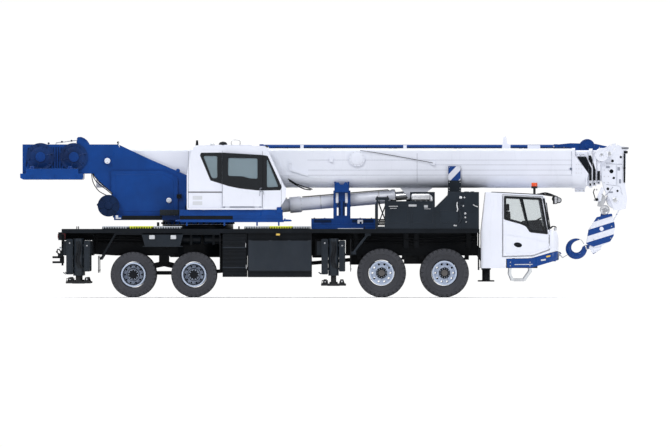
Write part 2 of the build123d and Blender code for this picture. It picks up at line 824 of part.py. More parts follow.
def make_slewing_frame():
    """Two side plates on a base plate, with the boom's foot pin and the lift cylinder's pin."""
    y_in = frame_plate_y
    y_out = frame_plate_y + frame_plate
    frame = plate(slew_outline, -y_out, -y_in) + plate(slew_outline, y_in, y_out)
    base = block(-5050, -2150, -760, 760, ring_top, base_plate_top)
    frame += base
    frame += Pos(slew_x, 0, (ring_split + running_gap + base_plate_top) / 2) * Cylinder(
        ring_radius, base_plate_top - ring_split - running_gap
    )
    frame -= Pos(slew_x, 0, 1900) * Cylinder(ring_bore, 600)
    frame -= block(-2880, -2100, -165, 165, 1875, 2000)
    cover = block(-5080, -4960, -y_in - 1, y_in + 1, base_plate_top - 50, 2480)
    frame += cover
    frame += block(-3700, -3600, -y_in - 1, y_in + 1, base_plate_top - 1, 2400)
    frame += block(-5700, -5645, -y_in - 1, y_in + 1, tail_bottom, 3240)
    frame += block(tail_rear, tail_rear + 60, -y_in - 1, y_in + 1, tail_bottom, tail_top - 100)
    frame += cross_pin(*boom_foot, pin_radius, -y_out - 30, y_out + 30)
    frame += cross_pin(*lift_foot, pin_radius - 15, -y_out - 30, y_out + 30)
    near = [(-5115, 3030), (-5115, 2070), (-4990, 1962), (-3525, 1962), (-3525, 2860), (-3835, 3030)]
    frame += plate(near, -y_out - 50, -y_out + 1)
    frame += cross_pin(-3735, 2325, 65, -y_out - 80, -y_out)
    for x in winch_x:
        for s in (-1, 1):
            frame += cross_pin(x, winch_z, winch_hub, *sorted((s * y_out, s * (y_out + 60))))
            frame += cross_pin(x, winch_z, winch_flange - 10, *sorted((s * (y_out - 1), s * (y_out + 25))))
    outer = op_cab_outer + 30
    support = block(-3480, -1000, outer, -y_out, base_plate_top - 100, base_plate_top)
    support += block(-3480, -1000, outer, outer + 100, 1810, base_plate_top - 99)
    frame += support
    tank = block(-4600, -3000, y_out + 40, counterweight_half_width, 2050, 2900)
    tank += block(-4600, -3000, y_out - 5, y_out + 41, 2100, 2800)
    for s in (-1, 1):
        frame += side_plate(s, tail_lug, y_in, y_out)
    reel = cross_pin(-5180, 2195, 260, -y_out - 240, -y_out - 40)
    reel_arm = block(-5180, -4900, -y_out - 100, 5 - y_out, 2150, 2240)
    return frame + tank + reel + reel_arm


def make_counterweight():
    """Counterweight slab hung under the tail, with lifting eyes."""
    outline = [
        (tail_rear - 45, tail_bottom - running_gap),
        (-5780, tail_bottom - running_gap),
        (-5780, counterweight_bottom + 30),
        (-5810, counterweight_bottom),
        (tail_rear + 30, counterweight_bottom),
        (tail_rear - 45, counterweight_bottom + 40),
    ]
    slab = plate(outline, -counterweight_half_width, counterweight_half_width)
    sides = []
    for s in (-1, 1):
        inner = frame_plate_y + frame_plate + 95
        top = tail_bottom + 115
        sides.append(side_block(s, -7150, -5900, inner, counterweight_half_width, tail_bottom - 1, top))
    return slab + sides[0] + sides[1]


def make_winches():
    """Two hoist drums with flanges, between the side plates."""
    half = frame_plate_y - running_gap
    drums = []
    for x in winch_x:
        outline = [
            (60, -half),
            (winch_flange, -half),
            (winch_flange, -half + 30),
            (210, -half + 30),
            (210, half - 30),
            (winch_flange, half - 30),
            (winch_flange, half),
            (60, half),
        ]
        drums.append(Pos(x, 0, winch_z) * disc_profile(outline))
    return group(*drums)


# Operator's cab


op_side = [
    (-3300, 2105),
    (-3300, 2940),
    (-3205, 3475),
    (-3120, 3615),
    (-3065, 3640),
    (-1465, 3625),
    (-1395, 3600),
    (-980, 2690),
    (-925, 2620),
    (-940, 2360),
    (-1050, 2180),
    (-1100, 2105),
]
op_door = [(-2440, 2180), (-2440, 3420), (-1510, 3400), (-1510, 2180)]
op_door_window = [
    (-2325, 2895),
    (-2325, 3350),
    (-1595, 3340),
    (-1595, 2825),
    (-1795, 2835),
    (-1965, 2885),
]
op_rear_window = [(-2950, 3415), (-2540, 3415), (-2540, 2820), (-2720, 2820)]
op_front_window = [(-1415, 3325), (-1350, 3320), (-1105, 2720), (-1070, 2620), (-1415, 2600)]


def op_volume(inset):
    """Operator's cab body inset from its outer skin."""
    face = side_face(op_side)
    if inset:
        face = offset(face, amount=-inset)
    length = op_cab_inner - op_cab_outer - 2 * inset
    return Pos(0, op_cab_outer + inset, 0) * extrude(face, amount=length, dir=(0, 1, 0))


def op_windscreen(inset):
    """Region of the sloping front that the windscreen fills."""
    y0 = op_cab_outer + 70 + inset
    y1 = op_cab_inner - 70 - inset
    return block(-1500, -800, y0, y1, 2440 + inset, 3540 - inset)


def op_cut(points, grow, y0, y1):
    """Cut through a side wall."""
    face = side_face(points)
    if grow:
        face = offset(face, amount=grow)
    return Pos(0, y0, 0) * extrude(face, amount=y1 - y0, dir=(0, 1, 0))


def make_op_cab():
    """Shell with window and door openings, glass, sliding door, seat and console."""
    shell = op_volume(0) - op_volume(op_wall)
    outer = (op_cab_outer - 20, op_cab_outer + op_wall + 20)
    inner = (op_cab_inner - op_wall - 20, op_cab_inner + 20)
    shell -= op_cut(op_door, -30, *outer)
    for window in (op_rear_window, op_front_window):
        shell -= op_cut(window, 0, *outer)
        shell -= op_cut(window, 0, *inner)
    screen = op_windscreen(0) & block(-1452, -800, -2000, 0, 0, 4000)
    shell -= screen
    rail_y0 = op_cab_outer - op_door_thickness - moving_gap
    rail = block(-3280, -1500, rail_y0, op_cab_outer + 1, 2100, 2140)
    shell += rail
    foot_z = base_plate_top + running_gap
    for x in (-3100, -1300):
        shell += block(x - 60, x + 60, op_cab_outer + 80, op_cab_inner - 60, foot_z, 2106)
    save(shell, "operator_cab_shell")
    glass = (op_volume(8) - op_volume(18)) & op_windscreen(running_gap)
    glass &= block(-1451.7, -800, -2000, 0, 0, 4000)
    panes = [glass]
    for window in (op_rear_window, op_front_window):
        panes.append(op_cut(window, -running_gap, op_cab_outer + 10, op_cab_outer + 20))
        panes.append(op_cut(window, -running_gap, op_cab_inner - 20, op_cab_inner - 10))
    save(group(*panes), "operator_cab_glass")
    y1 = op_cab_outer - moving_gap
    y0 = y1 - op_door_thickness
    door = op_cut(op_door, 0, y0, y1) - op_cut(op_door_window, 0, y0 - 5, y1 + 5)
    for x in (-2380, -1680):
        door += block(x, x + 110, y0, y1, 2140 + running_gap, 2190)
    save(door, "operator_door")
    save(op_cut(op_door_window, -running_gap, (y0 + y1) / 2 - 5, (y0 + y1) / 2 + 5), "operator_door_glass")
    y = (op_cab_inner + op_cab_outer) / 2
    floor_z = 2105 + op_wall
    room = (op_cab_inner - op_cab_outer) / 2 - op_wall
    seat = block(-2560, -2060, y - room + 105, y + room - 105, 2560, 2680)
    seat += block(-2640, -2530, y - room + 115, y + room - 115, 2670, 3260)
    seat += block(-2440, -2180, y - room + 185, y + room - 185, floor_z, 2561)
    pieces = [seat]
    for s in (-1, 1):
        pieces.append(Pos(0, y, 0) * side_block(s, -2500, -2020, room - 85, room - 15, floor_z, 2780))
    save(group(*pieces), "operator_seat")


# Telescopic boom


def boom_size(number):
    """Outer width and height of one boom section, the base being number 1."""
    shrink = number - 1
    width = boom_width - shrink * section_step_width
    return width, boom_top - boom_bottom - shrink * section_step_height


def boom_section(number, rear, front, inset=0.0):
    """Boom tube outline with a rounded lower half, extruded from rear to front."""
    width, height = boom_size(number)
    width -= 2 * inset
    height -= 2 * inset
    middle = (boom_top + boom_bottom) / 2
    solid = block(rear, front, -width / 2, width / 2, middle - height / 2, middle + height / 2)
    along = [e for e in solid.edges() if abs(e.length - (front - rear)) < 1]
    low = [e for e in along if e.center().Z < middle]
    solid = fillet(low, 0.36 * width)
    top = middle + height / 2
    high = [e for e in solid.edges() if abs(e.length - (front - rear)) < 1 and e.center().Z > top - 1]
    return fillet(high, max(60 - inset, 20))


def front_pad(number):
    """Wear pad inside the mouth of one section, under the next one."""
    middle = (boom_top + boom_bottom) / 2
    bottom = middle - boom_size(number)[1] / 2 + boom_wall
    top = middle - boom_size(number + 1)[1] / 2 - running_gap
    width = boom_size(number)[0] * 0.1
    end = section_front[number]
    return block(end - 300, end - 20, -width, width, bottom - 1, top)


def rear_pad(number):
    """Wear pad on the tail of one section, against the roof of the section round it."""
    middle = (boom_top + boom_bottom) / 2
    bottom = middle + boom_size(number)[1] / 2
    top = middle + boom_size(number - 1)[1] / 2 - boom_wall - running_gap
    width = boom_size(number)[0] * 0.3
    rear = section_rear[number]
    return block(rear + 20, rear + 320, -width, width, bottom - 1, top)


jib_rest = [(-860, 3270), (-810, 3270), (-810, 3080), (-400, 2950), (-420, 2905), (-860, 3040)]
cable_guide = [
    (4250, boom_top - 1),
    (4290, boom_top + 290),
    (4350, boom_top + 295),
    (4380, boom_top + 120),
    (4455, boom_top + 90),
    (4455, boom_top - 1),
]
base_mouth = [
    (6000, boom_top + 60),
    (6000, boom_top - 185),
    (base_front, boom_top - 600),
    (6240, boom_bottom - 100),
    (6240, boom_bottom - 200),
    (base_front + 100, boom_bottom - 200),
    (base_front + 100, boom_top + 60),
]
lift_ears = [
    (1800, boom_bottom + 10),
    (2600, boom_bottom + 10),
    (2500, boom_bottom - 65),
    (2230, boom_bottom - 225),
    (2095, boom_bottom - 275),
    (1990, boom_bottom - 225),
    (1900, boom_bottom - 105),
]


def make_base_section():
    """Base section with a slanted mouth and collar, foot ears, lift ears and the brackets on its skin."""
    base = boom_section(1, boom_rear, base_front) + boom_section(1, 5930, base_front, -14)
    base += block(6000, 6240, -150, 150, boom_bottom - 100, boom_bottom + 15)
    base -= boom_section(1, boom_rear - 10, base_front + 10, boom_wall)
    base -= plate(base_mouth, -boom_width, boom_width)
    for s in (-1, 1):
        ear = sorted((s * (boom_width / 2 - 1), s * (frame_plate_y - moving_gap)))
        base += cross_pin(*boom_foot, pin_radius + 80, *ear)
        base += side_plate(s, lift_ears, 130, 190)
    base -= cross_pin(*boom_foot, pin_radius + pin_clearance, -600, 600)
    base += cross_pin(*lift_eye, pin_radius - 15, -200, 200)
    base += cross_pin(770, boom_top - 241, 190, -boom_width / 2 - 48, -boom_width / 2 + 1)
    base += side_plate(-1, jib_rest, boom_width / 2 - 1, boom_width / 2 + 32)
    base += plate(cable_guide, -100, 100)
    for x, reach in ((-547, 40), (1925, 40), (5018, 150)):
        base += block(x - reach, x + reach, -120, 120, boom_top - 1, boom_top + 88)
    return base + front_pad(1)


def make_boom():
    """Base section and four telescoping sections, the last with the head."""
    save(make_base_section(), "boom_base")
    for number in (2, 3, 4, 5):
        rear = section_rear[number]
        end = section_front[number]
        tube = boom_section(number, rear, end) - boom_section(number, rear - 10, end + 10, boom_wall)
        tube += rear_pad(number)
        if number == 5:
            save(tube + make_head(), "boom_section_5")
            continue
        tube += boom_section(number - 1, end - 80, end) - boom_section(number, end - 100, end + 10, boom_wall)
        save(tube + front_pad(number), f"boom_section_{number}")


head_outline = [
    (6625, boom_top - 315),
    (6625, boom_top - 5),
    (6745, boom_top + 35),
    (6885, boom_top + 115),
    (6965, boom_top + 125),
    (7110, boom_top + 55),
    (7290, boom_top + 35),
    (7290, boom_top - 10),
    (7230, boom_top - 45),
    (7205, boom_top - 870),
    (7255, boom_top - 1230),
    (7215, boom_top - 1440),
    (7080, boom_top - 1480),
    (6940, boom_top - 1480),
    (6885, boom_top - 1330),
    (6700, boom_top - 965),
    (6640, boom_top - 765),
]


def make_head():
    """Boom head: two cheek plates with top and lower sheaves on their axles."""
    outer = head_half_width
    head = plate(head_outline, -outer, -outer + head_plate) + plate(head_outline, outer - head_plate, outer)
    head += block(6650, 6710, -outer + 1, outer - 1, boom_top - 775, boom_top - 185)
    head += block(7140, 7200, -outer + 1, outer - 1, boom_top - 765, boom_top - 165)
    for x, z, radius in (top_sheave, lower_sheave):
        head += cross_pin(x, z, 45, -outer - 20, outer + 20)
        head += cross_pin(x, z, radius, -150, 150)
    x, z = side_sheave
    head += block(x + 45, x + 125, -outer - 112, -outer + 1, z - 40, z + 40)
    head += cross_pin(x, z, side_sheave_radius, -outer - 160, -outer - 110)
    for x, z in ((6950, boom_top - 25), (6875, boom_top + 85), (7000, boom_top + 95)):
        head -= cross_pin(x, z, 22, -outer - 10, outer + 10)
    return head


def make_lift_cylinder():
    """Barrel with its foot eye and rod with its head eye."""
    start = Vector(lift_foot[0], 0, lift_foot[1])
    end = Vector(lift_eye[0], 0, lift_eye[1])
    along = (end - start).normalized()
    tube_end = start + along * 4390
    inner = rod(start + along * 250, tube_end + along * 1, 2 * (lift_rod_radius + 2))
    barrel = rod(start + along * 150, tube_end, 2 * lift_bore) + cross_pin(*lift_foot, 170, -150, 150)
    barrel += rod(start + along * 1850, start + along * 2120, 2 * lift_bore + 70)
    barrel += rod(tube_end - along * 90, tube_end, 2 * lift_bore + 30)
    barrel -= inner
    barrel -= cross_pin(*lift_foot, pin_radius - 15 + pin_clearance, -200, 200)
    save(barrel, "lift_barrel")
    stem = rod(start + along * 300, end - along * 100, 2 * lift_rod_radius)
    eye = cross_pin(*lift_eye, 130, -115, 115)
    head = stem + eye
    head -= cross_pin(*lift_eye, pin_radius - 15 + pin_clearance, -200, 200)
    save(head, "lift_rod")


# Stowed jib


jib_rear = -1555.0
jib_front = 5600.0
jib_top = boom_top + 100.0
jib_bottom = boom_top - 615.0
jib_inner = boom_width / 2 + 110.0
jib_outer = jib_inner + 470.0
jib_chord = 90.0
jib_lace = 50.0
jib_bays = 9
jib_sheave = (6305.0, boom_top + 50.0, 180.0)


def make_jib():
    """Lattice jib stowed beside the boom: laced chords, a nose with its sheave, and brackets to the boom."""
    low, high = jib_bottom + jib_chord / 2, jib_top - jib_chord / 2
    corners = [(y, z) for y in (jib_inner, jib_outer) for z in (low, high)]
    jib = None
    for y, z in corners:
        bar = rod((jib_rear, y, z), (jib_front, y, z), jib_chord)
        jib = bar if jib is None else jib + bar
    bay = (jib_front - jib_rear - 100) / jib_bays
    for index in range(jib_bays):
        x0 = jib_rear + 50 + index * bay
        x1 = x0 + bay
        za, zb = (low, high) if index % 2 else (high, low)
        for y in (jib_inner, jib_outer):
            jib += rod((x0, y, za), (x1, y, zb), jib_lace)
    for index in range(jib_bays + 1):
        x0 = jib_rear + 50 + index * bay
        for z in (low, high):
            jib += rod((x0, jib_inner, z), (x0, jib_outer, z), jib_lace)
    for x in (-900, 1900, 4900):
        jib += block(x - 60, x + 60, boom_width / 2 + running_gap, jib_inner, low - 40, low + 40)
    nose = [
        (jib_front - 40, jib_top),
        (jib_front - 40, jib_top - 220),
        (6200, jib_top - 265),
        (6860, jib_top - 180),
        (6886, jib_top - 65),
        (6500, jib_top + 20),
        (5900, jib_top + 35),
    ]
    for y in (jib_inner, jib_outer):
        jib += plate(nose, y - 20, y + 20)
    jib += cross_pin(*jib_sheave, jib_inner, jib_outer)
    for y in (jib_inner, jib_outer):
        jib += rod((jib_front - 10, y, low), (6200, y, jib_top - 240), jib_chord)
    return jib


# Hook block


block_outline = [
    (6525, 1920),
    (6885, 2015),
    (6955, 1750),
    (6960, 1670),
    (6930, 1475),
    (6840, 1325),
    (6690, 1255),
    (6480, 1200),
    (6275, 1285),
    (6305, 1475),
    (6330, 1625),
    (6400, 1725),
]
block_link = [(6600, 1860), (6760, 1900), (6830, 2100), (6720, 2200), (6640, 2100)]
block_foot = [(6340, 1180), (6440, 1035), (6620, 1145), (6660, 1300), (6480, 1240), (6370, 1300)]
block_half = 210.0
hook_centre = (6035.0, 1175.0)


def sheave_tangent(start, turn):
    """Where a rope from a point meets the lower sheave of the boom head."""
    reach = lower_sheave[2] + rope_diameter / 2 + running_gap
    dx, dz = start[0] - hook_pivot[0], start[1] - hook_pivot[1]
    angle = math.atan2(dz, dx) + turn * math.acos(reach / math.hypot(dx, dz))
    return hook_pivot[0] + reach * math.cos(angle), hook_pivot[1] + reach * math.sin(angle)


def on_hook_axis(reach):
    """Point on the line that the hook turns about."""
    return (6300 + 0.953 * reach, 0, 1205 + 0.303 * reach)


def make_hook():
    """Hook block of two cheeks with sheaves and a link up to the boom head, and the hook."""
    cheeks = side_plate(-1, block_outline, block_half - 40, block_half)
    cheeks += side_plate(1, block_outline, block_half - 40, block_half)
    inner = cross_pin(6640, 1640, 250, -block_half + 1, block_half - 1)
    neck = plate(block_link, -60, 60)
    body = cheeks + inner + neck + cross_pin(*hook_sheave, -90, 90)
    for start, turn in (((6850.0, 1700.0), 1), ((6640.0, 2140.0), -1)):
        x, z = sheave_tangent(start, turn)
        for y in (-45, 45):
            body += rod((start[0], y, start[1]), (x, y, z), rope_diameter)
    body += rod(on_hook_axis(26.3), on_hook_axis(125), 110)
    body += plate(block_foot, -171, 171)
    save(body, "hook_block")
    ring = Plane(origin=(hook_centre[0], 0, hook_centre[1]), z_dir=(0, -1, 0)) * Torus(185, 66)
    gap = plate([(6035, 1240), (6130, 1240), (6200, 1480), (5900, 1480)], -100, 100)
    stem = rod(on_hook_axis(-89), on_hook_axis(26), 110)
    save(ring - gap + stem, "hook")


make_wheels()
make_knuckles()
make_driveline()
save(make_chassis(), "chassis_frame")
save(make_bodywork(), "carrier_bodywork")
make_outriggers()
save(make_cradle(), "boom_cradle")
save(make_hood(), "engine_hood")
make_cab()
save(make_bumper(), "front_bumper")
save(make_slewing_frame(), "slewing_frame")
save(make_counterweight(), "counterweight")
save(make_winches(), "winch_drums")
make_op_cab()
make_boom()
make_lift_cylinder()
save(make_jib(), "stowed_jib")
make_hook()
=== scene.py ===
"""Looks of a four-axle mobile crane in road position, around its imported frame."""
import math

import bpy
from mathutils import Matrix, Vector


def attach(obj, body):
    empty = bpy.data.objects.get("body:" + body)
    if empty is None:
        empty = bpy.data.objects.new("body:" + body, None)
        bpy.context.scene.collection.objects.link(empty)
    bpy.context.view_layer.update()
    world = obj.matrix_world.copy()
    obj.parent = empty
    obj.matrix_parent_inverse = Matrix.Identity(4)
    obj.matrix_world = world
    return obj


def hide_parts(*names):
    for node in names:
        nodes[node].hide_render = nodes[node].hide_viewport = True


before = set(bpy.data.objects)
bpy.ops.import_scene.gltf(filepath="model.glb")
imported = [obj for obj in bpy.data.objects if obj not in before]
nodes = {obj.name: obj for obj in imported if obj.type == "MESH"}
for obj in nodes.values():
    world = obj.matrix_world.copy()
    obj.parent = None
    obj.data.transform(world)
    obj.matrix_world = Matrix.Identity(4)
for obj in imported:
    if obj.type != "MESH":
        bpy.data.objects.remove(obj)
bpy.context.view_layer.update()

# Driving places, in metres, from the same sizes as the model
AXLES = {"axle_1": 2.865, "axle_2": 1.36, "axle_3": -3.13, "axle_4": -4.58}
STEERED = ("axle_1", "axle_2")
FRONT_TYRE_RADIUS = 0.585
REAR_TYRE_RADIUS = 0.545
SIDES = (("right", -1), ("left", 1))
UP, AHEAD, NEAR = (0, 0, 1), (1, 0, 0), (0, -1, 0)


# Mesh helpers


def circle(count, start=0.0):
    """Cosine and sine at even steps around a turn."""
    angles = [start + 2 * math.pi * i / count for i in range(count)]
    return [(math.cos(a), math.sin(a)) for a in angles]


def ring(centre, radius, count, start=0.0):
    """Even places on a circle in the (x, z) plane."""
    return [(centre[0] + radius * c, centre[1] + radius * s) for c, s in circle(count, start)]


def rect(x0, z0, x1, z1):
    """Outline of a rectangle from its low and high corners."""
    return [(x0, z0), (x1, z0), (x1, z1), (x0, z1)]


def area_sign(points):
    """1 for an outline that runs counter-clockwise, -1 otherwise."""
    area = sum(p[0] * q[1] - q[0] * p[1] for p, q in zip(points, points[1:] + points[:1]))
    return 1 if area > 0 else -1


def rounded(points, radius, steps=4):
    """The same outline with its corners rounded."""
    result = []
    for i, point in enumerate(points):
        p = Vector(point)
        before = Vector(points[i - 1]) - p
        after = Vector(points[(i + 1) % len(points)]) - p
        reach = min(radius, before.length * 0.45, after.length * 0.45)
        a = p + before.normalized() * reach
        b = p + after.normalized() * reach
        for k in range(steps + 1):
            t = k / steps
            q = a * (1 - t) ** 2 + p * 2 * t * (1 - t) + b * t ** 2
            result.append((q.x, q.y))
    return result


def grown(points, amount):
    """Outline moved outwards by an amount (inwards when negative)."""
    sign = area_sign(points)
    result = []
    for i, point in enumerate(points):
        p, before, after = Vector(point), Vector(points[i - 1]), Vector(points[(i + 1) % len(points)])
        a, b = (p - before).normalized(), (after - p).normalized()
        na, nb = Vector((a.y, -a.x)) * sign, Vector((b.y, -b.x)) * sign
        half = (na + nb).normalized()
        q = p + half * amount / max(0.35, half.dot(na))
        result.append((q.x, q.y))
    return result


def smooth_path(points, steps=6):
    """Curve through all the points."""
    pts = [Vector(p) for p in points]
    path = []
    for i in range(len(pts) - 1):
        a, b, c, d = pts[max(i - 1, 0)], pts[i], pts[i + 1], pts[min(i + 2, len(pts) - 1)]
        for k in range(steps):
            t = k / steps
            bend = (2 * a - 5 * b + 4 * c - d) * t * t + (3 * b - a - 3 * c + d) * t ** 3
            path.append(0.5 * (2 * b + (c - a) * t + bend))
    path.append(pts[-1])
    return path


def soften(obj, width, segments, angle=30.0):
    """Rounds the sharp edges of an object."""
    edge = obj.modifiers.new("edges", "BEVEL")
    edge.width = width
    edge.segments = segments
    edge.limit_method = "ANGLE"
    edge.angle_limit = math.radians(angle)
    return edge


class Parts:
    """Solids of one material on one body, gathered into one mesh; what adds a solid returns self."""

    def __init__(self):
        self.verts = []
        self.faces = []
        self.tubes = []

    def add(self, verts, faces):
        base = len(self.verts)
        self.verts += [Vector(v) for v in verts]
        self.faces += [tuple(base + i for i in face) for face in faces]
        return self

    def loft(self, rings, closed=False):
        """Skin over rings of points, its ends capped or the last ring joined to the first."""
        sides, count = len(rings[0]), len(rings)
        faces = []
        for j in range(count if closed else count - 1):
            a, b = j * sides, (j + 1) % count * sides
            for i in range(sides):
                k = (i + 1) % sides
                faces.append((a + i, a + k, b + k, b + i))
        if not closed:
            faces.append(tuple(range(sides - 1, -1, -1)))
            faces.append(tuple((count - 1) * sides + i for i in range(sides)))
        return self.add([v for row in rings for v in row], faces)

    def box(self, low, high):
        (a, d), (b, e), (c, f) = (sorted(pair) for pair in zip(low, high))
        return self.prism(rect(a, c, d, f), b, e)

    def boxes(self, *corners):
        """A box for every six numbers: the low corner, then the high one."""
        for row in corners:
            self.box(row[:3], row[3:])
        return self

    def prism(self, outline, y0, y1):
        """Outline of (x, z) points between two y values."""
        y0, y1 = sorted((y0, y1))
        points = outline[::area_sign(outline)]
        return self.loft([[(x, y, z) for x, z in points[::-1]] for y in (y0, y1)])

    def plate(self, x0, z0, x1, z1, corner, y0, y1):
        """Rectangle with rounded corners between two y values."""
        return self.prism(rounded(rect(x0, z0, x1, z1), corner), y0, y1)

    def lathe(self, profile, centre, axis=NEAR, sides=32):
        """(radius, height) points turned about an axis through centre; flat ends close it."""
        turn = Vector(axis).to_track_quat("Z", "Y").to_matrix()
        centre = Vector(centre)
        return self.loft([[centre + turn @ Vector((r * c, r * s, h)) for c, s in circle(sides)]
                          for r, h in profile])

    def turned(self, rows, centre, sides=48):
        """Closed outline of (radius, height towards the near side) turned about y, open in the middle."""
        x, y, z = centre
        return self.loft([[(x + r * c, y - h, z + r * s) for r, h in rows] for c, s in circle(sides)],
                         closed=True)

    def disc(self, start, end, radius, sides=24):
        """Round bar between two points."""
        start, end = Vector(start), Vector(end)
        return self.lathe([(radius, 0), (radius, (end - start).length)], start, end - start, sides)

    def tube(self, points, radius, sides=8):
        """Round tube along a path, its ends closed."""
        points = [Vector(p) for p in points]
        self.tubes.append((len(self.verts), len(self.faces), points, radius, sides))
        rings = []
        up = None
        for i, p in enumerate(points):
            ahead = (points[min(i + 1, len(points) - 1)] - points[max(i - 1, 0)]).normalized()
            if up is None:
                up = ahead.orthogonal().normalized()
            up = (up - ahead * up.dot(ahead)).normalized()
            side = ahead.cross(up)
            rings.append([p + radius * (c * up + s * side) for c, s in circle(sides)])
        return self.loft(rings)

    def pipe(self, points, radius, sides=8):
        """Round tube along a curve through the points."""
        return self.tube(smooth_path(points), radius, sides)

    def bolts(self, places, normal=NEAR, radius=0.014, height=0.012):
        """Hexagon heads on a face."""
        normal = Vector(normal).normalized()
        for place in places:
            self.disc(Vector(place), Vector(place) + normal * height, radius, 6)
        return self

    def flipped(self):
        """Copy mirrored in the centre plane."""
        other = Parts()
        other.verts = [Vector((v.x, -v.y, v.z)) for v in self.verts]
        other.faces = [face[::-1] for face in self.faces]
        return other

    def both(self, lay_tubes=True):
        """Adds the mirrored copy to itself, its tubes laid anew along the mirrored paths if wanted."""
        other = self.flipped()
        for vert, face, points, radius, sides in self.tubes if lay_tubes else ():
            tube = Parts().tube([(x, -y, z) for x, y, z in points], radius, sides)
            other.verts[vert:vert + len(tube.verts)] = tube.verts
            other.faces[face:face + len(tube.faces)] = [[vert + i for i in row] for row in tube.faces]
        return self.add(other.verts, other.faces)

    def make(self, name, key, body, bevel=0.0, smooth_angle=35.0):
        """One object with this mesh and the material of that key, riding on a body."""
        mesh = bpy.data.meshes.new(name)
        mesh.from_pydata([tuple(v) for v in self.verts], [], self.faces)
        mesh.validate()
        mesh.polygons.foreach_set("use_smooth", [True] * len(mesh.polygons))
        mesh.set_sharp_from_angle(angle=math.radians(smooth_angle))
        mesh.materials.append(M[key])
        obj = bpy.data.objects.new(name, mesh)
        bpy.context.scene.collection.objects.link(obj)
        if bevel:
            soften(obj, bevel, 2, 40)
        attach(obj, body)
        return obj

    def pair(self, name, key, body, bevel=0.0, smooth_angle=35.0, tail=""):
        """Near-side parts made for both sides; the side's name ends the names of piece and body."""
        pieces = []
        for side, outward in SIDES:
            part = self if outward < 0 else self.flipped()
            pieces.append(part.make(f"{name}_{side}{tail}", key, f"{body}_{side}", bevel, smooth_angle))
        return pieces


def panel(name, outline, holes, y, depth, body, key="gloss_black"):
    """Flat (x, z) panel with holes, its outer face at y and its thickness towards the centre plane."""
    curve = bpy.data.curves.new(name, "CURVE")
    curve.dimensions = "2D"
    curve.fill_mode = "BOTH"
    curve.extrude = depth / 2
    for points in [outline] + holes:
        spline = curve.splines.new("POLY")
        spline.points.add(len(points) - 1)
        for point, (x, z) in zip(spline.points, points):
            point.co = (x, z, 0, 1)
        spline.use_cyclic_u = True
    temporary = bpy.data.objects.new(name, curve)
    mesh = bpy.data.meshes.new_from_object(temporary)
    bpy.data.objects.remove(temporary)
    inward = 1 if y < 0 else -1
    mesh.transform(Matrix.Translation((0, y + inward * depth / 2, 0)) @ Matrix.Rotation(math.pi / 2, 4, "X"))
    mesh.materials.clear()
    mesh.materials.append(M[key])
    obj = bpy.data.objects.new(name, mesh)
    bpy.context.scene.collection.objects.link(obj)
    soften(obj, 0.002, 1)
    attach(obj, body)
    return obj


# Materials


def add_node(tree, kind, inputs, **settings):
    """Shader node with its settings; each input is a value, or a socket to link."""
    node = tree.nodes.new("ShaderNode" + kind)
    for name, value in settings.items():
        setattr(node, name, value)
    for key, value in inputs.items():
        if isinstance(value, bpy.types.NodeSocket):
            tree.links.new(value, node.inputs[key])
        else:
            node.inputs[key].default_value = value
    return node


def new_material(name, **values):
    """Material with its tree and shader; the values' names are the shader's inputs."""
    material = bpy.data.materials.new(name)
    material.use_nodes = True
    shader = material.node_tree.nodes["Principled BSDF"]
    for key, value in values.items():
        shader.inputs[key.replace("_", " ")].default_value = value
    return material, material.node_tree, shader


def place_of(tree):
    """The object's own coordinates."""
    return add_node(tree, "TexCoord", {}).outputs["Object"]


def noise(tree, scale, detail=4.0, roughness=0.55, stretch=None):
    """Noise on the object's own coordinates."""
    place = place_of(tree)
    if stretch:
        place = add_node(tree, "Mapping", {"Vector": place, "Scale": stretch}).outputs["Vector"]
    inputs = {"Vector": place, "Scale": scale, "Detail": detail, "Roughness": roughness}
    return add_node(tree, "TexNoise", inputs).outputs["Fac"]


def mix_colour(tree, factor, first, second):
    """Mix of two colours or sockets by a factor socket."""
    first, second = ((*value, 1.0) if isinstance(value, tuple) else value for value in (first, second))
    return add_node(tree, "Mix", {"Factor": factor, "A": first, "B": second},
                    data_type="RGBA").outputs["Result"]


def map_range(tree, value, low, high, to_low=0.0, to_high=1.0):
    """Clamped linear map of a socket."""
    inputs = {"Value": value, "From Min": low, "From Max": high, "To Min": to_low, "To Max": to_high}
    return add_node(tree, "MapRange", inputs).outputs["Result"]


def maths(tree, operation, *values):
    """Result of a mathematical node."""
    return add_node(tree, "Math", dict(enumerate(values)), operation=operation).outputs["Value"]


def dot_product(tree, first, second):
    """Dot product of two vectors or sockets."""
    inputs = {0: first, 1: second}
    return add_node(tree, "VectorMath", inputs, operation="DOT_PRODUCT").outputs["Value"]


def add_bump(tree, shader, height, strength, distance):
    """Bump from a height socket."""
    bump = add_node(tree, "Bump", {"Strength": strength, "Distance": distance, "Height": height})
    tree.links.new(bump.outputs["Normal"], shader.inputs["Normal"])


def height_above(tree, low, high, to_low, to_high):
    """Clamped ramp over the height above the ground."""
    split = add_node(tree, "SeparateXYZ", {"Vector": place_of(tree)})
    return map_range(tree, split.outputs["Z"], low, high, to_low, to_high)


def edge_mask(tree):
    """Where the surface turns sharply: the rounded normal leaves the flat one."""
    rounded_normal = add_node(tree, "Bevel", {"Radius": 0.006}, samples=4).outputs["Normal"]
    flat_normal = add_node(tree, "NewGeometry", {}).outputs["Normal"]
    return map_range(tree, dot_product(tree, rounded_normal, flat_normal), 0.9, 0.998, 1.0, 0.0)


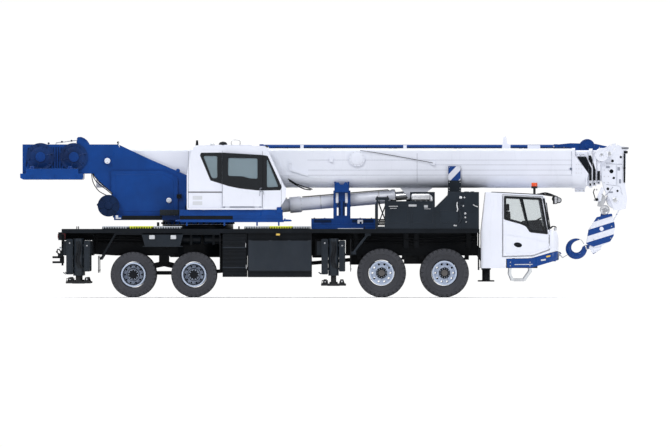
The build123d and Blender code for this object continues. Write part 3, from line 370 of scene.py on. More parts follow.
def surface(name, colour, rough, metallic=0.0, coat=0.0, variation=0.06, dust=0.0, grain=0.0,
            grain_scale=180.0, wear=0.0, worn=(0.3, 0.3, 0.3), specular=0.3):
    """Painted, cast or moulded surface with a cloudy colour, uneven gloss, dust, worn edges and grain."""
    material, tree, shader = new_material(name, Metallic=metallic, Coat_Weight=coat, Coat_Roughness=0.08,
                                          Specular_IOR_Level=specular)
    dark = tuple(c * (1 - variation) for c in colour)
    light = tuple(min(1.0, c * (1 + variation)) for c in colour)
    socket = mix_colour(tree, map_range(tree, noise(tree, 1.7), 0.35, 0.65), dark, light)
    streak = noise(tree, 2.2, 6.0, 0.7, (3.0, 3.0, 0.5))
    if dust:
        low_down = height_above(tree, 0.2, 2.0, dust, 0.0)
        amount = maths(tree, "MULTIPLY", low_down, map_range(tree, streak, 0.3, 0.75))
        socket = mix_colour(tree, amount, socket, ROAD_DUST)
    if wear:
        chips = map_range(tree, noise(tree, 14.0, 6.0, 0.7), 0.45, 0.62, 0.0, wear)
        socket = mix_colour(tree, maths(tree, "MULTIPLY", edge_mask(tree), chips), socket, worn)
    tree.links.new(socket, shader.inputs["Base Color"])
    gloss = map_range(tree, streak, 0.3, 0.7, max(0.03, rough - 0.06), min(1.0, rough + 0.08))
    tree.links.new(gloss, shader.inputs["Roughness"])
    add_bump(tree, shader, noise(tree, grain_scale, 3.0), max(grain, 0.03), 0.002)
    return material


def glass_material(name, colour, haze=0.0):
    """Tinted glass with faint smears; haze is the share that the film on it keeps back."""
    material, tree, shader = new_material(name, Base_Color=(*colour, 1.0),
                                          Transmission_Weight=1.0 - haze, IOR=1.45)
    smear = map_range(tree, noise(tree, 3.0), 0.4, 0.8, 0.02, 0.08)
    tree.links.new(smear, shader.inputs["Roughness"])
    return material


def striped(name, first, second, direction, period, offset, plain_above=None):
    """Two colours in even bands across an (x, z) direction, the first one alone above a height."""
    material, tree, shader = new_material(name, Coat_Weight=0.15, Specular_IOR_Level=0.3)
    across = dot_product(tree, place_of(tree), (direction[0], 0.0, direction[1]))
    part = maths(tree, "FRACT", maths(tree, "MULTIPLY_ADD", across, 1.0 / period, offset))
    step = map_range(tree, part, 0.48, 0.52)
    if plain_above:
        below = height_above(tree, plain_above, plain_above + 0.002, 1.0, 0.0)
        step = maths(tree, "MULTIPLY", step, below)
    cloud = noise(tree, 3.0)
    warm = mix_colour(tree, cloud, tuple(c * 0.94 for c in first), first)
    chips = maths(tree, "MULTIPLY", edge_mask(tree), map_range(tree, cloud, 0.45, 0.6, 0.0, 0.4))
    painted = mix_colour(tree, step, warm, second)
    tree.links.new(mix_colour(tree, chips, painted, (0.3, 0.32, 0.36)), shader.inputs["Base Color"])
    tree.links.new(map_range(tree, cloud, 0.3, 0.7, 0.28, 0.4), shader.inputs["Roughness"])
    return material


def tread_plate(name, colour):
    """Walking plate with raised bars in two directions."""
    material, tree, shader = new_material(name, Metallic=0.7)
    place = place_of(tree)
    heights = []
    for angle in (0.785, -0.785):
        inputs = {"Vector": place, "Rotation": (0, 0, angle), "Scale": (1.0, 2.6, 1.0)}
        turned = add_node(tree, "Mapping", inputs).outputs["Vector"]
        bars = add_node(tree, "TexVoronoi", {"Vector": turned, "Scale": 26.0, "Randomness": 0.0})
        heights.append(map_range(tree, bars.outputs["Distance"], 0.25, 0.4, 1.0, 0.0))
    join = maths(tree, "MAXIMUM", *heights)
    add_bump(tree, shader, join, 0.8, 0.004)
    worn = tuple(min(1.0, c * 1.35 + 0.04) for c in colour)
    tree.links.new(mix_colour(tree, join, colour, worn), shader.inputs["Base Color"])
    tree.links.new(map_range(tree, noise(tree, 6.0), 0.3, 0.7, 0.35, 0.6), shader.inputs["Roughness"])
    return material


def with_zone(material, low, high, at_low, at_high, colour):
    """Gives the part of a material's surface that lies above or below a height another colour."""
    tree = material.node_tree
    target = tree.nodes["Principled BSDF"].inputs["Base Color"]
    zone = height_above(tree, low, high, at_low, at_high)
    tree.links.new(mix_colour(tree, zone, target.links[0].from_socket, colour), target)
    return material


WHITE = (0.76, 0.785, 0.87)
BLUE = (0.003, 0.046, 0.225)
WORN_BLUE = (0.05, 0.13, 0.36)
ROAD_DUST = (0.32, 0.29, 0.25)
# The bumper's step loops hang below this height and are light grey
STEP_LOOPS_TOP = 0.7
# The beacon's dome stands above this height, higher than the other fittings, and is orange
BEACON_FOOT = 2.6601

M = {
    "white": surface("white_paint", WHITE, 0.3, coat=0.25, variation=0.02, dust=0.06, wear=0.25,
                     worn=(0.45, 0.46, 0.5)),
    "blue": surface("blue_paint", BLUE, 0.32, coat=0.12, variation=0.12, dust=0.03, wear=0.5, worn=WORN_BLUE,
                    specular=0.2),
    "charcoal": surface("charcoal_paint", (0.012, 0.0175, 0.025), 0.42, variation=0.15, dust=0.03, grain=0.08,
                        wear=0.5, worn=(0.07, 0.08, 0.09), specular=0.2),
    "door": surface("locker_door_paint", (0.015, 0.021, 0.03), 0.36, variation=0.1, dust=0.02, wear=0.5,
                    worn=(0.08, 0.09, 0.1), specular=0.25),
    "black": surface("black_paint", (0.004, 0.006, 0.009), 0.4, variation=0.2, dust=0.015, wear=0.5,
                     worn=(0.05, 0.055, 0.06), specular=0.15),
    # Dark navy that paints shade: in the cradle's recesses and on its column's sides, on the winch ribs,
    # bolts and knobs, and on the hose reel
    "navy": surface("painted_shade_navy", (0.003, 0.014, 0.052), 0.45, variation=0.3, grain=0.1, specular=0.15),
    # Darkened blue that paints the shade on the winch end plates; its dust and worn edges are real
    "dark_blue": surface("painted_shade_blue", (0.003, 0.026, 0.115), 0.4, coat=0.1, variation=0.35, dust=0.03,
                         grain=0.1, wear=0.5, worn=(0.03, 0.07, 0.2), specular=0.2),
    "fastener": surface("painted_bolts", (0.06, 0.09, 0.15), 0.4, metallic=0.4, variation=0.2),
    "gloss_black": surface("gloss_black", (0.007, 0.009, 0.011), 0.1, coat=0.5),
    "cast": surface("cast_steel", (0.012, 0.014, 0.017), 0.6, metallic=0.3, variation=0.25, dust=0.08,
                    grain=0.3, wear=0.6, worn=(0.1, 0.1, 0.1), specular=0.2),
    "rim": surface("rim_paint", (0.44, 0.51, 0.64), 0.38, metallic=0.15, coat=0.15, dust=0.05, wear=0.4,
                   worn=(0.2, 0.2, 0.22)),
    # Dark colour that paints the shade inside the rear rims' deep well
    "well": surface("rim_well_painted_shade", (0.1, 0.12, 0.15), 0.5, variation=0.2, dust=0.1),
    "steel": surface("bright_steel", (0.6, 0.61, 0.63), 0.3, metallic=0.6, variation=0.15, dust=0.03),
    "chrome": surface("chromed_rod", (0.8, 0.81, 0.84), 0.2, metallic=0.7),
    "tyre": surface("tyre_rubber", (0.04, 0.042, 0.05), 0.8, variation=0.12, dust=0.05, grain=0.35,
                    grain_scale=90.0, wear=0.3, worn=(0.1, 0.1, 0.105), specular=0.2),
    "hose": surface("hose_rubber", (0.008, 0.009, 0.011), 0.5, grain=0.2, specular=0.2),
    "rope": surface("wire_rope", (0.3, 0.31, 0.33), 0.45, metallic=0.6, variation=0.3, grain=0.6,
                    grain_scale=260.0),
    "plate": tread_plate("tread_plate", (0.42, 0.45, 0.48)),
    "yellow_plate": tread_plate("yellow_tread_plate", (0.55, 0.6, 0.03)),
    "glass": glass_material("tinted_glass", (0.8, 0.83, 0.84)),
    "op_glass": glass_material("filmed_glass", (0.44, 0.56, 0.62), haze=0.38),
    "amber": surface("amber_lens", (0.75, 0.5, 0.1), 0.12, coat=0.4),
    "beacon": surface("beacon_orange", (0.7, 0.08, 0.03), 0.15, coat=0.3),
    "red": surface("red_lens", (0.16, 0.01, 0.015), 0.14, coat=0.4),
    "clear": surface("clear_lens", (0.75, 0.77, 0.8), 0.1, metallic=0.4, coat=0.8),
    "seat": surface("seat_cloth", (0.035, 0.036, 0.042), 0.85, variation=0.2, grain=0.5, grain_scale=300.0),
    "label": surface("blank_label", (0.62, 0.64, 0.68), 0.4),
    "stripes": striped("block_stripes", WHITE, BLUE, (-0.3, 0.954), 0.283, 0.25, plain_above=2.0),
    "post_stripes": striped("post_stripes", WHITE, BLUE, (0.72, -0.69), 0.27, 0.62),
    "seam": surface("seam_shadow", (0.28, 0.3, 0.36), 0.5),
    "fittings": with_zone(surface("black_fittings", (0.012, 0.012, 0.013), 0.5, grain=0.15),
                          BEACON_FOOT, BEACON_FOOT + 0.0001, 0.0, 1.0, (0.85, 0.13, 0.03)),
    "bumper": with_zone(surface("bumper_paint", BLUE, 0.3, coat=0.2, variation=0.1, dust=0.03, wear=0.5,
                                worn=WORN_BLUE, specular=0.2),
                        STEP_LOOPS_TOP, STEP_LOOPS_TOP + 0.002, 1.0, 0.0, (0.6, 0.62, 0.64)),
    "cap": surface("hub_cap", (0.1, 0.095, 0.095), 0.4, metallic=0.4, variation=0.15, dust=0.05),
    "floor": surface("studio_floor", (0.93, 0.93, 0.93), 0.7, variation=0.01),
}

# Start of a node's name and its material; the first that fits counts, and any other node is charcoal
NODE_MATERIALS = (
    ("tyre", "tyre"), ("rim", "rim"), ("knuckle", "cast"), ("driveline", "cast"), ("jack", "cast"),
    ("chassis", "black"), ("carrier", "black"), ("driver_cab_glass", "glass"), ("driver_door_glass", "glass"),
    ("operator_cab_glass", "op_glass"), ("operator_door_glass", "op_glass"),
    ("driver_cab_fittings", "fittings"), ("operator_seat", "seat"), ("driver", "white"),
    ("operator", "white"), ("boom_cradle", "blue"), ("boom", "white"), ("lift_barrel", "white"),
    ("lift_rod", "chrome"), ("slewing", "blue"), ("counterweight", "blue"), ("winch", "cast"),
    ("front_bumper", "bumper"), ("stowed_jib", "blue"), ("hook_block", "stripes"), ("hook", "blue"),
    ("", "charcoal"),
)


def dress_nodes():
    """Gives each carried-over node its material and softened edges."""
    for name, obj in nodes.items():
        obj.data.materials.clear()
        obj.data.materials.append(M[next(key for start, key in NODE_MATERIALS if name.startswith(start))])
        if name.startswith(("tyre", "stowed_jib")) or "glass" in name:
            continue
        obj.modifiers.new("weld", "WELD").merge_threshold = 0.00005
        soften(obj, 0.005, 2, 40).harden_normals = False


dress_nodes()


# Wheels


def tyre_parts(x, y, radius, width, rim_radius):
    """Tyre with shoulder lugs, circumferential grooves and a beaded sidewall."""
    half = width / 2
    inner = rim_radius + 0.0185
    # (share of the half width, radius, whether the grooves between the lugs cut it) on the near half
    row = [
        (0.8, inner, False), (0.93, inner + 0.035, False), (0.985, (inner + radius) / 2 - 0.02, False),
        (0.995, radius * 0.74, False), (0.965, radius * 0.75, False), (0.965, radius * 0.77, False),
        (0.995, radius * 0.78, False), (0.995, radius * 0.86, False), (0.985, radius - 0.05, True),
        (0.92, radius - 0.01, True), (0.66, radius, True), (0.3, radius, False),
        (0.285, radius - 0.018, False), (0.23, radius - 0.018, False), (0.215, radius, False),
        (0.02, radius, False),
    ]
    row += [(-h, r, lug) for h, r, lug in reversed(row)]
    section = [(r, half * h) for h, r, _ in row]
    groove = [(r - 0.024, half * h * 0.93) if lug else (r, half * h) for h, r, lug in row]
    rings = []
    for i, (c, s) in enumerate(circle(120)):
        points = groove if i % 4 == 0 else section
        rings.append([(x + r * c, y - h, radius + r * s) for r, h in points])
    return Parts().loft(rings, closed=True)


def wheel_nuts(part, x, radius, ring_radius, face, nut=0.016, height=0.035):
    """Ten wheel nuts with their studs on the wheel's disc."""
    for px, pz in ring((x, radius), ring_radius, 10, math.pi / 10):
        part.disc((px, face, pz), (px, face - height, pz), nut, 6)
        part.disc((px, face, pz), (px, face - height - 0.012, pz), nut * 0.55, 8)


def flat_ring(part, inner, outer, low, high, centre):
    """Flat ring on the wheel's axis, open in the middle."""
    part.turned([(inner, low), (inner, high), (outer, high), (outer, low)], centre)


def front_wheel(bright, dark, grey, x, radius):
    """Nut ring, lock ring, hub ring with its bolts, cap, hand holes shown as dark discs of painted shade, and
    valve of a single wheel.
    """
    hub = -1.3399
    wheel_nuts(bright, x, radius, 0.168, -1.288)
    flat_ring(bright, 0.262, 0.288, 0.0, 0.012, (x, -1.352, radius))
    flat_ring(dark, 0.077, 0.134, -0.1, 0.006, (x, hub + 0.002, radius))
    bright.bolts([(px, hub, pz) for px, pz in ring((x, radius), 0.108, 12)], NEAR, 0.009, 0.014)
    cap = [(0.0765, -0.04), (0.0765, 0), (0.0735, 0.006), (0.05, 0.012), (0.012, 0.0145)]
    grey.lathe(cap, (x, -1.3817, radius))
    # Dark discs: painted shade in the hand holes
    for px, pz in ring((x, radius), 0.215, 10, math.pi / 10):
        dark.disc((px, -1.2645, pz), (px, -1.2665, pz), 0.0255, 20)
    valve = x + 0.235
    bright.tube([(valve, -1.27, radius + 0.03), (valve, -1.32, radius + 0.03),
                 (valve - 0.02, -1.355, radius + 0.03)],
                0.007)


def rear_wheel(bright, dark, grey, x, radius):
    """Nuts on the recessed disc, the rim's deep well lined with a dark cone of painted shade, dark driven
    hub, its bolts, hand holes shown as dark discs of painted shade, and valve.
    """
    face = -1.129
    # Thin dark cone inside the barrel: painted shade of the deep well
    well = [(0.222, 0.0), (0.224, 0.03), (0.238, 0.08), (0.262, 0.14), (0.2745, 0.236), (0.279, 0.236),
            (0.279, 0.0)]
    grey.turned(well, (x, -1.131, radius))
    wheel_nuts(bright, x, radius, 0.2135, face + 0.002, 0.019, 0.04)
    flat_ring(bright, 0.262, 0.288, 0.0, 0.008, (x, -1.3795, radius))
    hub = [(0.15, 0), (0.15, 0.02), (0.1345, 0.03), (0.1345, 0.19), (0.126, 0.202), (0.125, 0.2105),
           (0.07, 0.2165)]
    dark.lathe(hub, (x, face + 0.002, radius), NEAR, 40)
    bright.bolts([(px, face - 0.211, pz) for px, pz in ring((x, radius), 0.105, 10)], NEAR, 0.01, 0.012)
    # Dark discs: painted shade in the hand holes
    for px, pz in ring((x, radius), 0.2, 10):
        dark.disc((px, face + 0.001, pz), (px, face - 0.001, pz), 0.022, 20)
    valve = x - 0.23
    bright.tube([(valve, face, radius + 0.06), (valve, face - 0.12, radius + 0.06),
                 (valve + 0.02, face - 0.22, radius + 0.06)], 0.007)


def dress_wheels():
    """Treaded tyres in place of the plain ones, and the dressing of the wheels' outer faces."""
    for axle, x in AXLES.items():
        front = axle in STEERED
        radius, width = (FRONT_TYRE_RADIUS, 0.43) if front else (REAR_TYRE_RADIUS, 0.29)
        body = f"wheel_{axle}"
        for i, y in enumerate((-1.185,) if front else (-1.255, -0.915)):
            tyre = tyre_parts(x, y, radius, width, 0.295)
            treads = tyre.pair(f"tread_{axle}", "tyre", body, smooth_angle=28, tail=f"_{i}")
            if i == 0:
                for (side, _), first in zip(SIDES, treads):
                    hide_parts(f"tyre_{axle}_{side}")
        bright, dark, grey = Parts(), Parts(), Parts()
        if front:
            front_wheel(bright, dark, grey, x, radius)
            grey.pair(f"hub_cap_{axle}", "cap", body, 0.0015)
        else:
            rear_wheel(bright, dark, grey, x, radius)
            # The dark well lining paints the shade inside the rim
            grey.pair(f"rim_well_{axle}", "well", body, 0.0015)
        bright.pair(f"wheel_bright_{axle}", "rim", body, 0.0015)
        dark.pair(f"wheel_dark_{axle}", "black", body, 0.0015)


dress_wheels()


# Carrier

# Turned grip of a lever or a breather
KNOB = [(0.012, 0), (0.026, 0.01), (0.026, 0.03), (0.012, 0.045)]


def tread_strips():
    """Walking strips on the deck, with the yellow parts between."""
    plain, yellow = Parts(), Parts()
    for low, high, y_low, y_high in ((-5.325, -3.415, -4.675, -4.1), (-1.925, -0.34, -1.325, -0.765)):
        for part, a, b in ((plain, low, y_low), (yellow, y_low, y_high), (plain, y_high, high)):
            part.box((a + 0.002, -1.386, 1.6805), (b - 0.002, -0.985, 1.706))
            for i in range(int((b - a) / 0.06)):
                edge = a + 0.03 + 0.06 * i
                part.box((edge - 0.012, -1.392, 1.652), (edge + 0.012, -1.38, 1.702))
    plain.both().make("walkway_plain", "plate", "carrier", 0.002)
    yellow.both().make("walkway_yellow", "yellow_plate", "carrier", 0.002)


def flank_panels():
    """Mudguard panel between the rear wheels, its lamps, flaps and the brace ahead of the outrigger box."""
    part, lamps, amber, flaps = Parts(), Parts(), Parts(), Parts()
    part.prism(rounded([(-4.387, 1.54), (-4.3, 1.22), (-3.46, 1.22), (-3.379, 1.54)], 0.05), -1.37, -1.335)
    part.box((-4.36, -1.37, 1.212), (-3.4, -0.8, 1.228))
    for x in (-4.133, -3.622):
        part.box((x - 0.08, -1.386, 1.385), (x + 0.08, -1.368, 1.5))
        lamps.plate(x - 0.066, 1.396, x + 0.066, 1.488, 0.02, -1.397, -1.38)
    x, z = -1.118, 1.505
    amber.plate(x - 0.045, z - 0.022, x + 0.045, z + 0.022, 0.015, -1.396, -1.37)
    part.box((x - 0.055, -1.376, z - 0.032), (x + 0.055, -1.33, z + 0.032))
    for x, low, high in ((-5.414, 0.59, 1.0), (-2.505, 0.62, 1.5), (3.69, 0.652, 1.585), (0.62, 0.62, 1.4)):
        flaps.box((x - 0.008, -1.36, low), (x + 0.008, -0.97, high))
        for z in (high - 0.05, low + 0.06):
            part.bolts([(x + 0.008, -1.3 + 0.09 * i, z) for i in range(4)], AHEAD, 0.012, 0.01)
    part.tube([(0.686, -1.25, 1.073), (1.03, -1.25, 1.514)], 0.032, 12)
    part.boxes((0.62, -1.29, 1.03, 0.75, -1.21, 1.1), (0.96, -1.29, 1.47, 1.1, -1.21, 1.579))
    part.both(lay_tubes=False).make("flank_panels", "charcoal", "carrier", 0.004)
    lamps.both().make("side_lamps_clear", "clear", "carrier", 0.003)
    amber.both().make("side_markers_amber", "amber", "carrier", 0.003)
    flaps.both().make("mud_flaps", "hose", "carrier", 0.002)


def lockers():
    """Locker doors, latches, hinges and the ribs of the battery box."""
    part, latches = Parts(), Parts()
    part.plate(-1.825, 0.64, -0.325, 1.355, 0.03, -1.3745, -1.3705)
    for x in (-1.79, -1.3, -0.85, -0.36):
        part.box((x - 0.035, -1.381, 1.345), (x + 0.035, -1.3735, 1.372))
    for z in (0.7, 1.18):
        part.box((-2.443, -1.345, z), (-1.867, -1.3, z + 0.03))
    for x, z in ((-1.891, 1.2), (-1.877, 0.68)):
        latches.tube([(x, -1.345, z), (x, -1.385, z + 0.015), (x, -1.385, z + 0.085), (x, -1.345, z + 0.1)],
                     0.009)
    part.both().make("locker_doors", "door", "carrier", 0.003)
    latches.both().make("locker_latches", "steel", "carrier")


def rear_end():
    """Rear lamps, marker lamps, deck posts, air couplings and the fittings beside the hitch's free bore."""
    housing, red, amber, clear = Parts(), Parts(), Parts(), Parts()
    housing.boxes((-6.375, -1.33, 1.37, -6.2955, -0.72, 1.56), (-6.295, -1.105, 1.39, -6.195, -1.09, 1.55))
    for y, part in ((-1.22, red), (-1.06, red), (-0.9, amber), (-0.78, clear)):
        part.lathe([(0.062, 0), (0.06, 0.014), (0.03, 0.02)], (-6.374, y, 1.465), (-1, 0, 0), 24)
    red.plate(-6.295, 1.402, -6.204, 1.534, 0.015, -1.12, -1.1)
    for x in (-5.93, -4.0, -2.06, 0.95):
        housing.disc((x, -1.33, 1.64), (x, -1.33, 1.7), 0.012, 10)
    housing.tube([(-4.0, -1.36, 1.68), (-4.0, -1.36, 1.8)], 0.016, 10)
    for y in (-0.5, -0.38):
        clear.disc((-6.36, y, 1.18), (-6.3, y, 1.18), 0.03, 16)
    for y in (-0.34, -0.24):
        housing.disc((-6.38, y, 1.02), (-6.3, y, 1.02), 0.035, 16)
        housing.disc((-6.4, y, 1.02), (-6.38, y, 1.02), 0.045, 16)
    housing.both(lay_tubes=False)
    lever = [(-6.37, 0.04, 1.0), (-6.42, 0.02, 1.08), (-6.41, -0.04, 1.15), (-6.36, -0.09, 1.13),
             (-6.33, -0.1, 1.06)]
    housing.pipe(lever, 0.014)
    housing.lathe(KNOB, (-6.42, 0.01, 1.07), (-0.4, 0, 1), 16)
    housing.prism(rounded([(-6.36, 0.86), (-6.3, 0.84), (-6.3, 1.14), (-6.35, 1.11)], 0.015), -0.13, 0.13)
    housing.make("rear_lamp_housings", "black", "carrier", 0.003)
    red.both().make("rear_lamps_red", "red", "carrier")
    amber.both().make("rear_lamps_amber", "amber", "carrier")
    clear.both().make("rear_lamps_clear", "clear", "carrier")


def outrigger_details():
    """Casings beside each jack, with cover bolts, hoses, a lock lever and the wide float under the leg."""
    for end, x, low in (("rear", -5.895, 0.33), ("front", 0.21, 0.275)):
        case, pad, hose, bright, pins = Parts(), Parts(), Parts(), Parts(), Parts()
        for a, b, z0, z1 in ((x - 0.29, x - 0.13, 0.55, 1.4), (x + 0.13, x + 0.28, 0.62, 1.36)):
            case.plate(a, z0, b, z1, 0.03, -1.345, -1.12)
            case.plate(a + 0.025, z0 + 0.06, b - 0.025, z1 - 0.1, 0.02, -1.355, -1.34)
            case.bolts([(at, -1.345, z) for z in (z0 + 0.03, z1 - 0.05) for at in (a + 0.03, b - 0.03)], NEAR,
                       0.012)
        for z in (0.66, 0.95, 1.22):
            case.box((x - 0.14, -1.3, z), (x + 0.14, -1.14, z + 0.05))
        for at in (x - 0.05, x - 0.005, x + 0.04):
            route = [(at, -1.36, 1.34), (at + 0.03, -1.372, 1.15), (at - 0.02, -1.37, 0.9),
                     (at + 0.06, -1.36, 0.7)]
            hose.pipe(route, 0.012)
        case.tube([(x - 0.24, -1.36, 0.62), (x - 0.3, -1.37, 0.56), (x - 0.36, -1.37, 0.6)], 0.012, 10)
        bright.bolts([(x - 0.21, -1.356, 1.3), (x + 0.205, -1.356, 1.24)], NEAR, 0.018)
        top = low + 0.052
        pad.plate(x - 0.3, low + 0.005, x + 0.3, top, 0.012, -1.39, -1.06)
        for at in (x - 0.2, x + 0.2):
            lug = [(at - 0.07, top), (at + 0.07, top), (at + 0.035, top + 0.1), (at - 0.035, top + 0.1)]
            pad.prism(lug, -1.3, -1.16)
            pins.disc((at, -1.312, top + 0.055), (at, -1.15, top + 0.055), 0.02, 16)
        grip = ((x - 0.28, top), (x - 0.28, top + 0.07), (x - 0.14, top + 0.07), (x - 0.14, top))
        pad.tube([(at, -1.395, z) for at, z in grip], 0.01)
        beam, jack = f"outrigger_beam_{end}", f"jack_{end}"
        case.pair(f"jack_casing_{end}", "charcoal", beam, 0.003)
        hose.pair(f"jack_hoses_{end}", "hose", beam)
        pad.pair(f"float_{end}", "cast", jack, 0.003)
        pins.pair(f"float_pins_{end}", "steel", jack, 0.001)
        bright.pair(f"casing_screws_{end}", "steel", beam, 0.001)


def underframe():
    """Closed well under the slewing ring, air tanks, shields and pipe runs inside the frame's sides."""
    part, dark, lines = Parts(), Parts(), Parts()
    for x in (-3.2, -2.66):
        dark.lathe([(0.1, 0), (0.125, 0.03), (0.125, 0.45), (0.1, 0.48)], (x - 0.24, -0.98, 1.4), AHEAD, 28)
        part.box((x - 0.03, -1.12, 1.26), (x + 0.03, -0.84, 1.545))
    for a, b, y, z0, z1 in ((-5.5, -3.5, -0.5, 1.05, 1.52), (-2.5, -1.86, -0.55, 0.66, 1.5),
                            (-0.3, 0.2, -0.55, 0.95, 1.52), (0.55, 3.66, -0.45, 1.08, 1.55)):
        dark.plate(a, z0, b, z1, 0.03, y - 0.01, y + 0.01)
    for z, y in ((1.46, -0.66), (1.4, -0.7), (1.33, -0.64)):
        lines.tube([(-5.45, y, z), (-3.9, y, z - 0.02), (-3.75, y - 0.02, z - 0.16)], 0.014)
        lines.tube([(0.65, y, z), (1.9, y, z - 0.02), (2.1, y - 0.03, z - 0.05), (3.6, y, z)], 0.014)
    for x in (0.75, 1.95, 2.2, 3.45):
        part.box((x - 0.06, -0.71, 1.18), (x + 0.06, -0.53, 1.54))
    part.both().lathe([(0.7, 0), (0.7, 0.3), (0.66, 0.34), (0.02, 0.34)], (-3.045, 0, 1.3), (0, 0, -1), 64)
    part.make("slewing_well", "black", "carrier", 0.004)
    dark.both().make("air_tanks_and_shields", "black", "carrier", 0.004)
    lines.both().make("frame_pipes", "hose", "carrier")


def suspension():
    """Shock absorbers, brake chambers and the ties between the rear wheels."""
    part, rods = Parts(), Parts()
    y = -0.62
    for axle, x in AXLES.items():
        z = FRONT_TYRE_RADIUS if axle in STEERED else REAR_TYRE_RADIUS
        part.disc((x - 0.22, y, z + 0.02), (x - 0.26, y, z + 0.26), 0.045, 16)
        rods.disc((x - 0.26, y, z + 0.25), (x - 0.285, y, z + 0.42), 0.018, 12)
        part.disc((x + 0.16, y, z + 0.1), (x + 0.3, y, z + 0.1), 0.075)
        part.disc((x + 0.3, y, z + 0.1), (x + 0.33, y, z + 0.1), 0.05)
    part.tube([(-4.05, -0.55, 0.565), (-3.66, -0.55, 0.6)], 0.022, 10)
    part.both().make("suspension_parts", "cast", "carrier", 0.003)
    rods.both().make("shock_rods", "chrome", "carrier")


tread_strips()
flank_panels()
lockers()
rear_end()
outrigger_details()
underframe()
suspension()


# Hood, rack and posts

HOOD_FACE = -1.3595


def hood_details():
    """Seams, hinges, handles, catches and grab rails of the engine hood."""
    dark, bright, black = Parts(), Parts(), Parts()
    for x in (2.045, 2.635, 3.27):
        black.box((x - 0.003, -1.3605, 1.66), (x + 0.003, -1.359, 2.14))
    black.boxes((1.49, -1.3605, 2.036, 3.68, -1.359, 2.042), (3.268, -1.3605, 2.04, 3.274, -1.359, 2.5))
    for x in (1.6, 1.94, 2.14, 2.54, 2.75, 3.15, 3.36, 3.6):
        dark.box((x - 0.03, -1.366, 2.02), (x + 0.03, -1.359, 2.05))
    for x, z, w, h in ((1.64, 2.18, 0.11, 0.01), (1.64, 2.13, 0.08, 0.007), (2.1, 2.2, 0.095, 0.025),
                       (2.42, 2.18, 0.045, 0.03), (2.46, 2.12, 0.08, 0.006)):
        bright.plate(x - w, z - h, x + w, z + h, 0.01, -1.372, -1.36)
    bright.pipe([(3.17, -1.375, 2.28), (3.16, -1.38, 2.2), (3.18, -1.38, 2.1), (3.16, -1.37, 2.06)], 0.014)
    bright.pipe([(3.55, -1.37, 2.22), (3.6, -1.38, 2.19), (3.66, -1.37, 2.17)], 0.012)
    for x, z, r in ((3.25, 2.39, 0.035), (3.34, 2.39, 0.02), (3.31, 2.19, 0.022), (3.36, 1.915, 0.022),
                    (3.38, 1.805, 0.018), (3.1, 1.72, 0.02), (3.14, 1.72, 0.02), (3.36, 2.01, 0.026)):
        bright.lathe([(r, 0), (r, 0.012), (r * 0.6, 0.02)], (x, HOOD_FACE, z), NEAR, 20)
    for z in (2.3, 2.22, 2.14, 2.06, 1.98, 1.9):
        dark.box((3.2, -1.385, z - 0.03), (3.3, -1.359, z + 0.03))
    dark.pipe([(3.24, -1.38, 2.36), (3.22, -1.385, 2.1), (3.26, -1.385, 1.9), (3.18, -1.37, 1.75)], 0.018)
    dark.both(lay_tubes=False).make("hood_catches", "charcoal", "carrier")
    black.both().make("hood_seams", "black", "carrier")
    bright.both(lay_tubes=False).make("hood_handles", "steel", "carrier")


def exhaust():
    """Silencer with its straps, and the pipe that turns down into the hood."""
    shell, pipes = Parts(), Parts()
    y, z = -1.25, 2.395
    end = [(0.02, -0.02), (0.06, -0.012), (0.083, 0.012), (0.085, 0.03)]
    length = 0.425
    shell.lathe(end + [(r, length - h) for r, h in reversed(end)], (2.085, y, z), AHEAD, 40)
    for x in (2.158, 2.288, 2.418):
        shell.lathe([(0.0845, 0), (0.0885, 0.003), (0.0885, 0.022), (0.0845, 0.025)], (x, y, z), AHEAD, 40)
        pipes.box((x, y - 0.05, 2.303), (x + 0.024, y + 0.05, z - 0.08))
    bend = ((2.46, z + 0.02), (2.5, z + 0.025), (2.535, z - 0.01), (2.545, z - 0.06), (2.545, 2.305))
    pipes.pipe([(x, y, z) for x, z in bend], 0.045, 16)
    shell.make("silencer", "steel", "carrier")
    pipes.make("exhaust_pipe", "steel", "carrier")


def top_fittings():
    """Filler caps and breathers that stand on the hood."""
    bright, dark = Parts(), Parts()
    for x, y, z, r, h in ((1.64, -0.95, 2.305, 0.07, 0.05), (2.0, -0.7, 2.305, 0.05, 0.07),
                          (2.4, 0.8, 2.525, 0.07, 0.04), (3.4, -0.8, 2.525, 0.06, 0.015),
                          (3.55, 0.9, 2.525, 0.05, 0.02)):
        dark.disc((x, y, z - 0.001), (x, y, z + h * 0.6), r)
        cap = [(r * 0.85, 0), (r * 0.85, h * 0.3), (r * 0.4, h * 0.42)]
        bright.lathe(cap, (x, y, z + h * 0.6 - 0.001), UP, 24)
    dark.make("hood_top_dark", "black", "carrier")
    bright.make("hood_top_bright", "steel", "carrier")


def rack_details():
    """Crossed bracing rods, slats, top rail, posts and hose coils of the stowage rack."""
    rods, dark, hoses = Parts(), Parts(), Parts()
    rods.tube([(1.27, -1.34, 1.72), (1.5, -1.34, 2.32)], 0.011)
    rods.tube([(1.5, -1.328, 1.72), (1.27, -1.328, 2.32)], 0.011)
    post = [(1.208, 1.66), (1.262, 1.66), (1.262, 2.22), (1.25, 2.26), (1.22, 2.26), (1.208, 2.22)]
    dark.prism(rounded(post, 0.01), -1.35, -1.334)
    for x in (1.255, 1.505):
        rods.tube([(x, -1.335, 2.381), (x, -1.335, 2.42)], 0.012)
    rods.both()
    dark.both()
    for x in (1.255, 1.505):
        rods.tube([(x, -1.335, 2.42), (x, 1.335, 2.42)], 0.012)
    for i in range(9):
        y = -1.2 + 0.3 * i
        dark.box((1.23, y - 0.015, 2.381), (1.53, y + 0.015, 2.4))
    turn = circle(32)
    for z in (1.74, 1.78, 1.82, 1.86):
        hoses.tube([(1.36 + 0.09 * c, -1.02 + 0.22 * s, z) for c, s in turn + turn[:1]], 0.018)
    rods.make("rack_rods", "black", "carrier")
    dark.make("rack_slats", "charcoal", "carrier", 0.002)
    hoses.make("coiled_hose", "hose", "carrier")


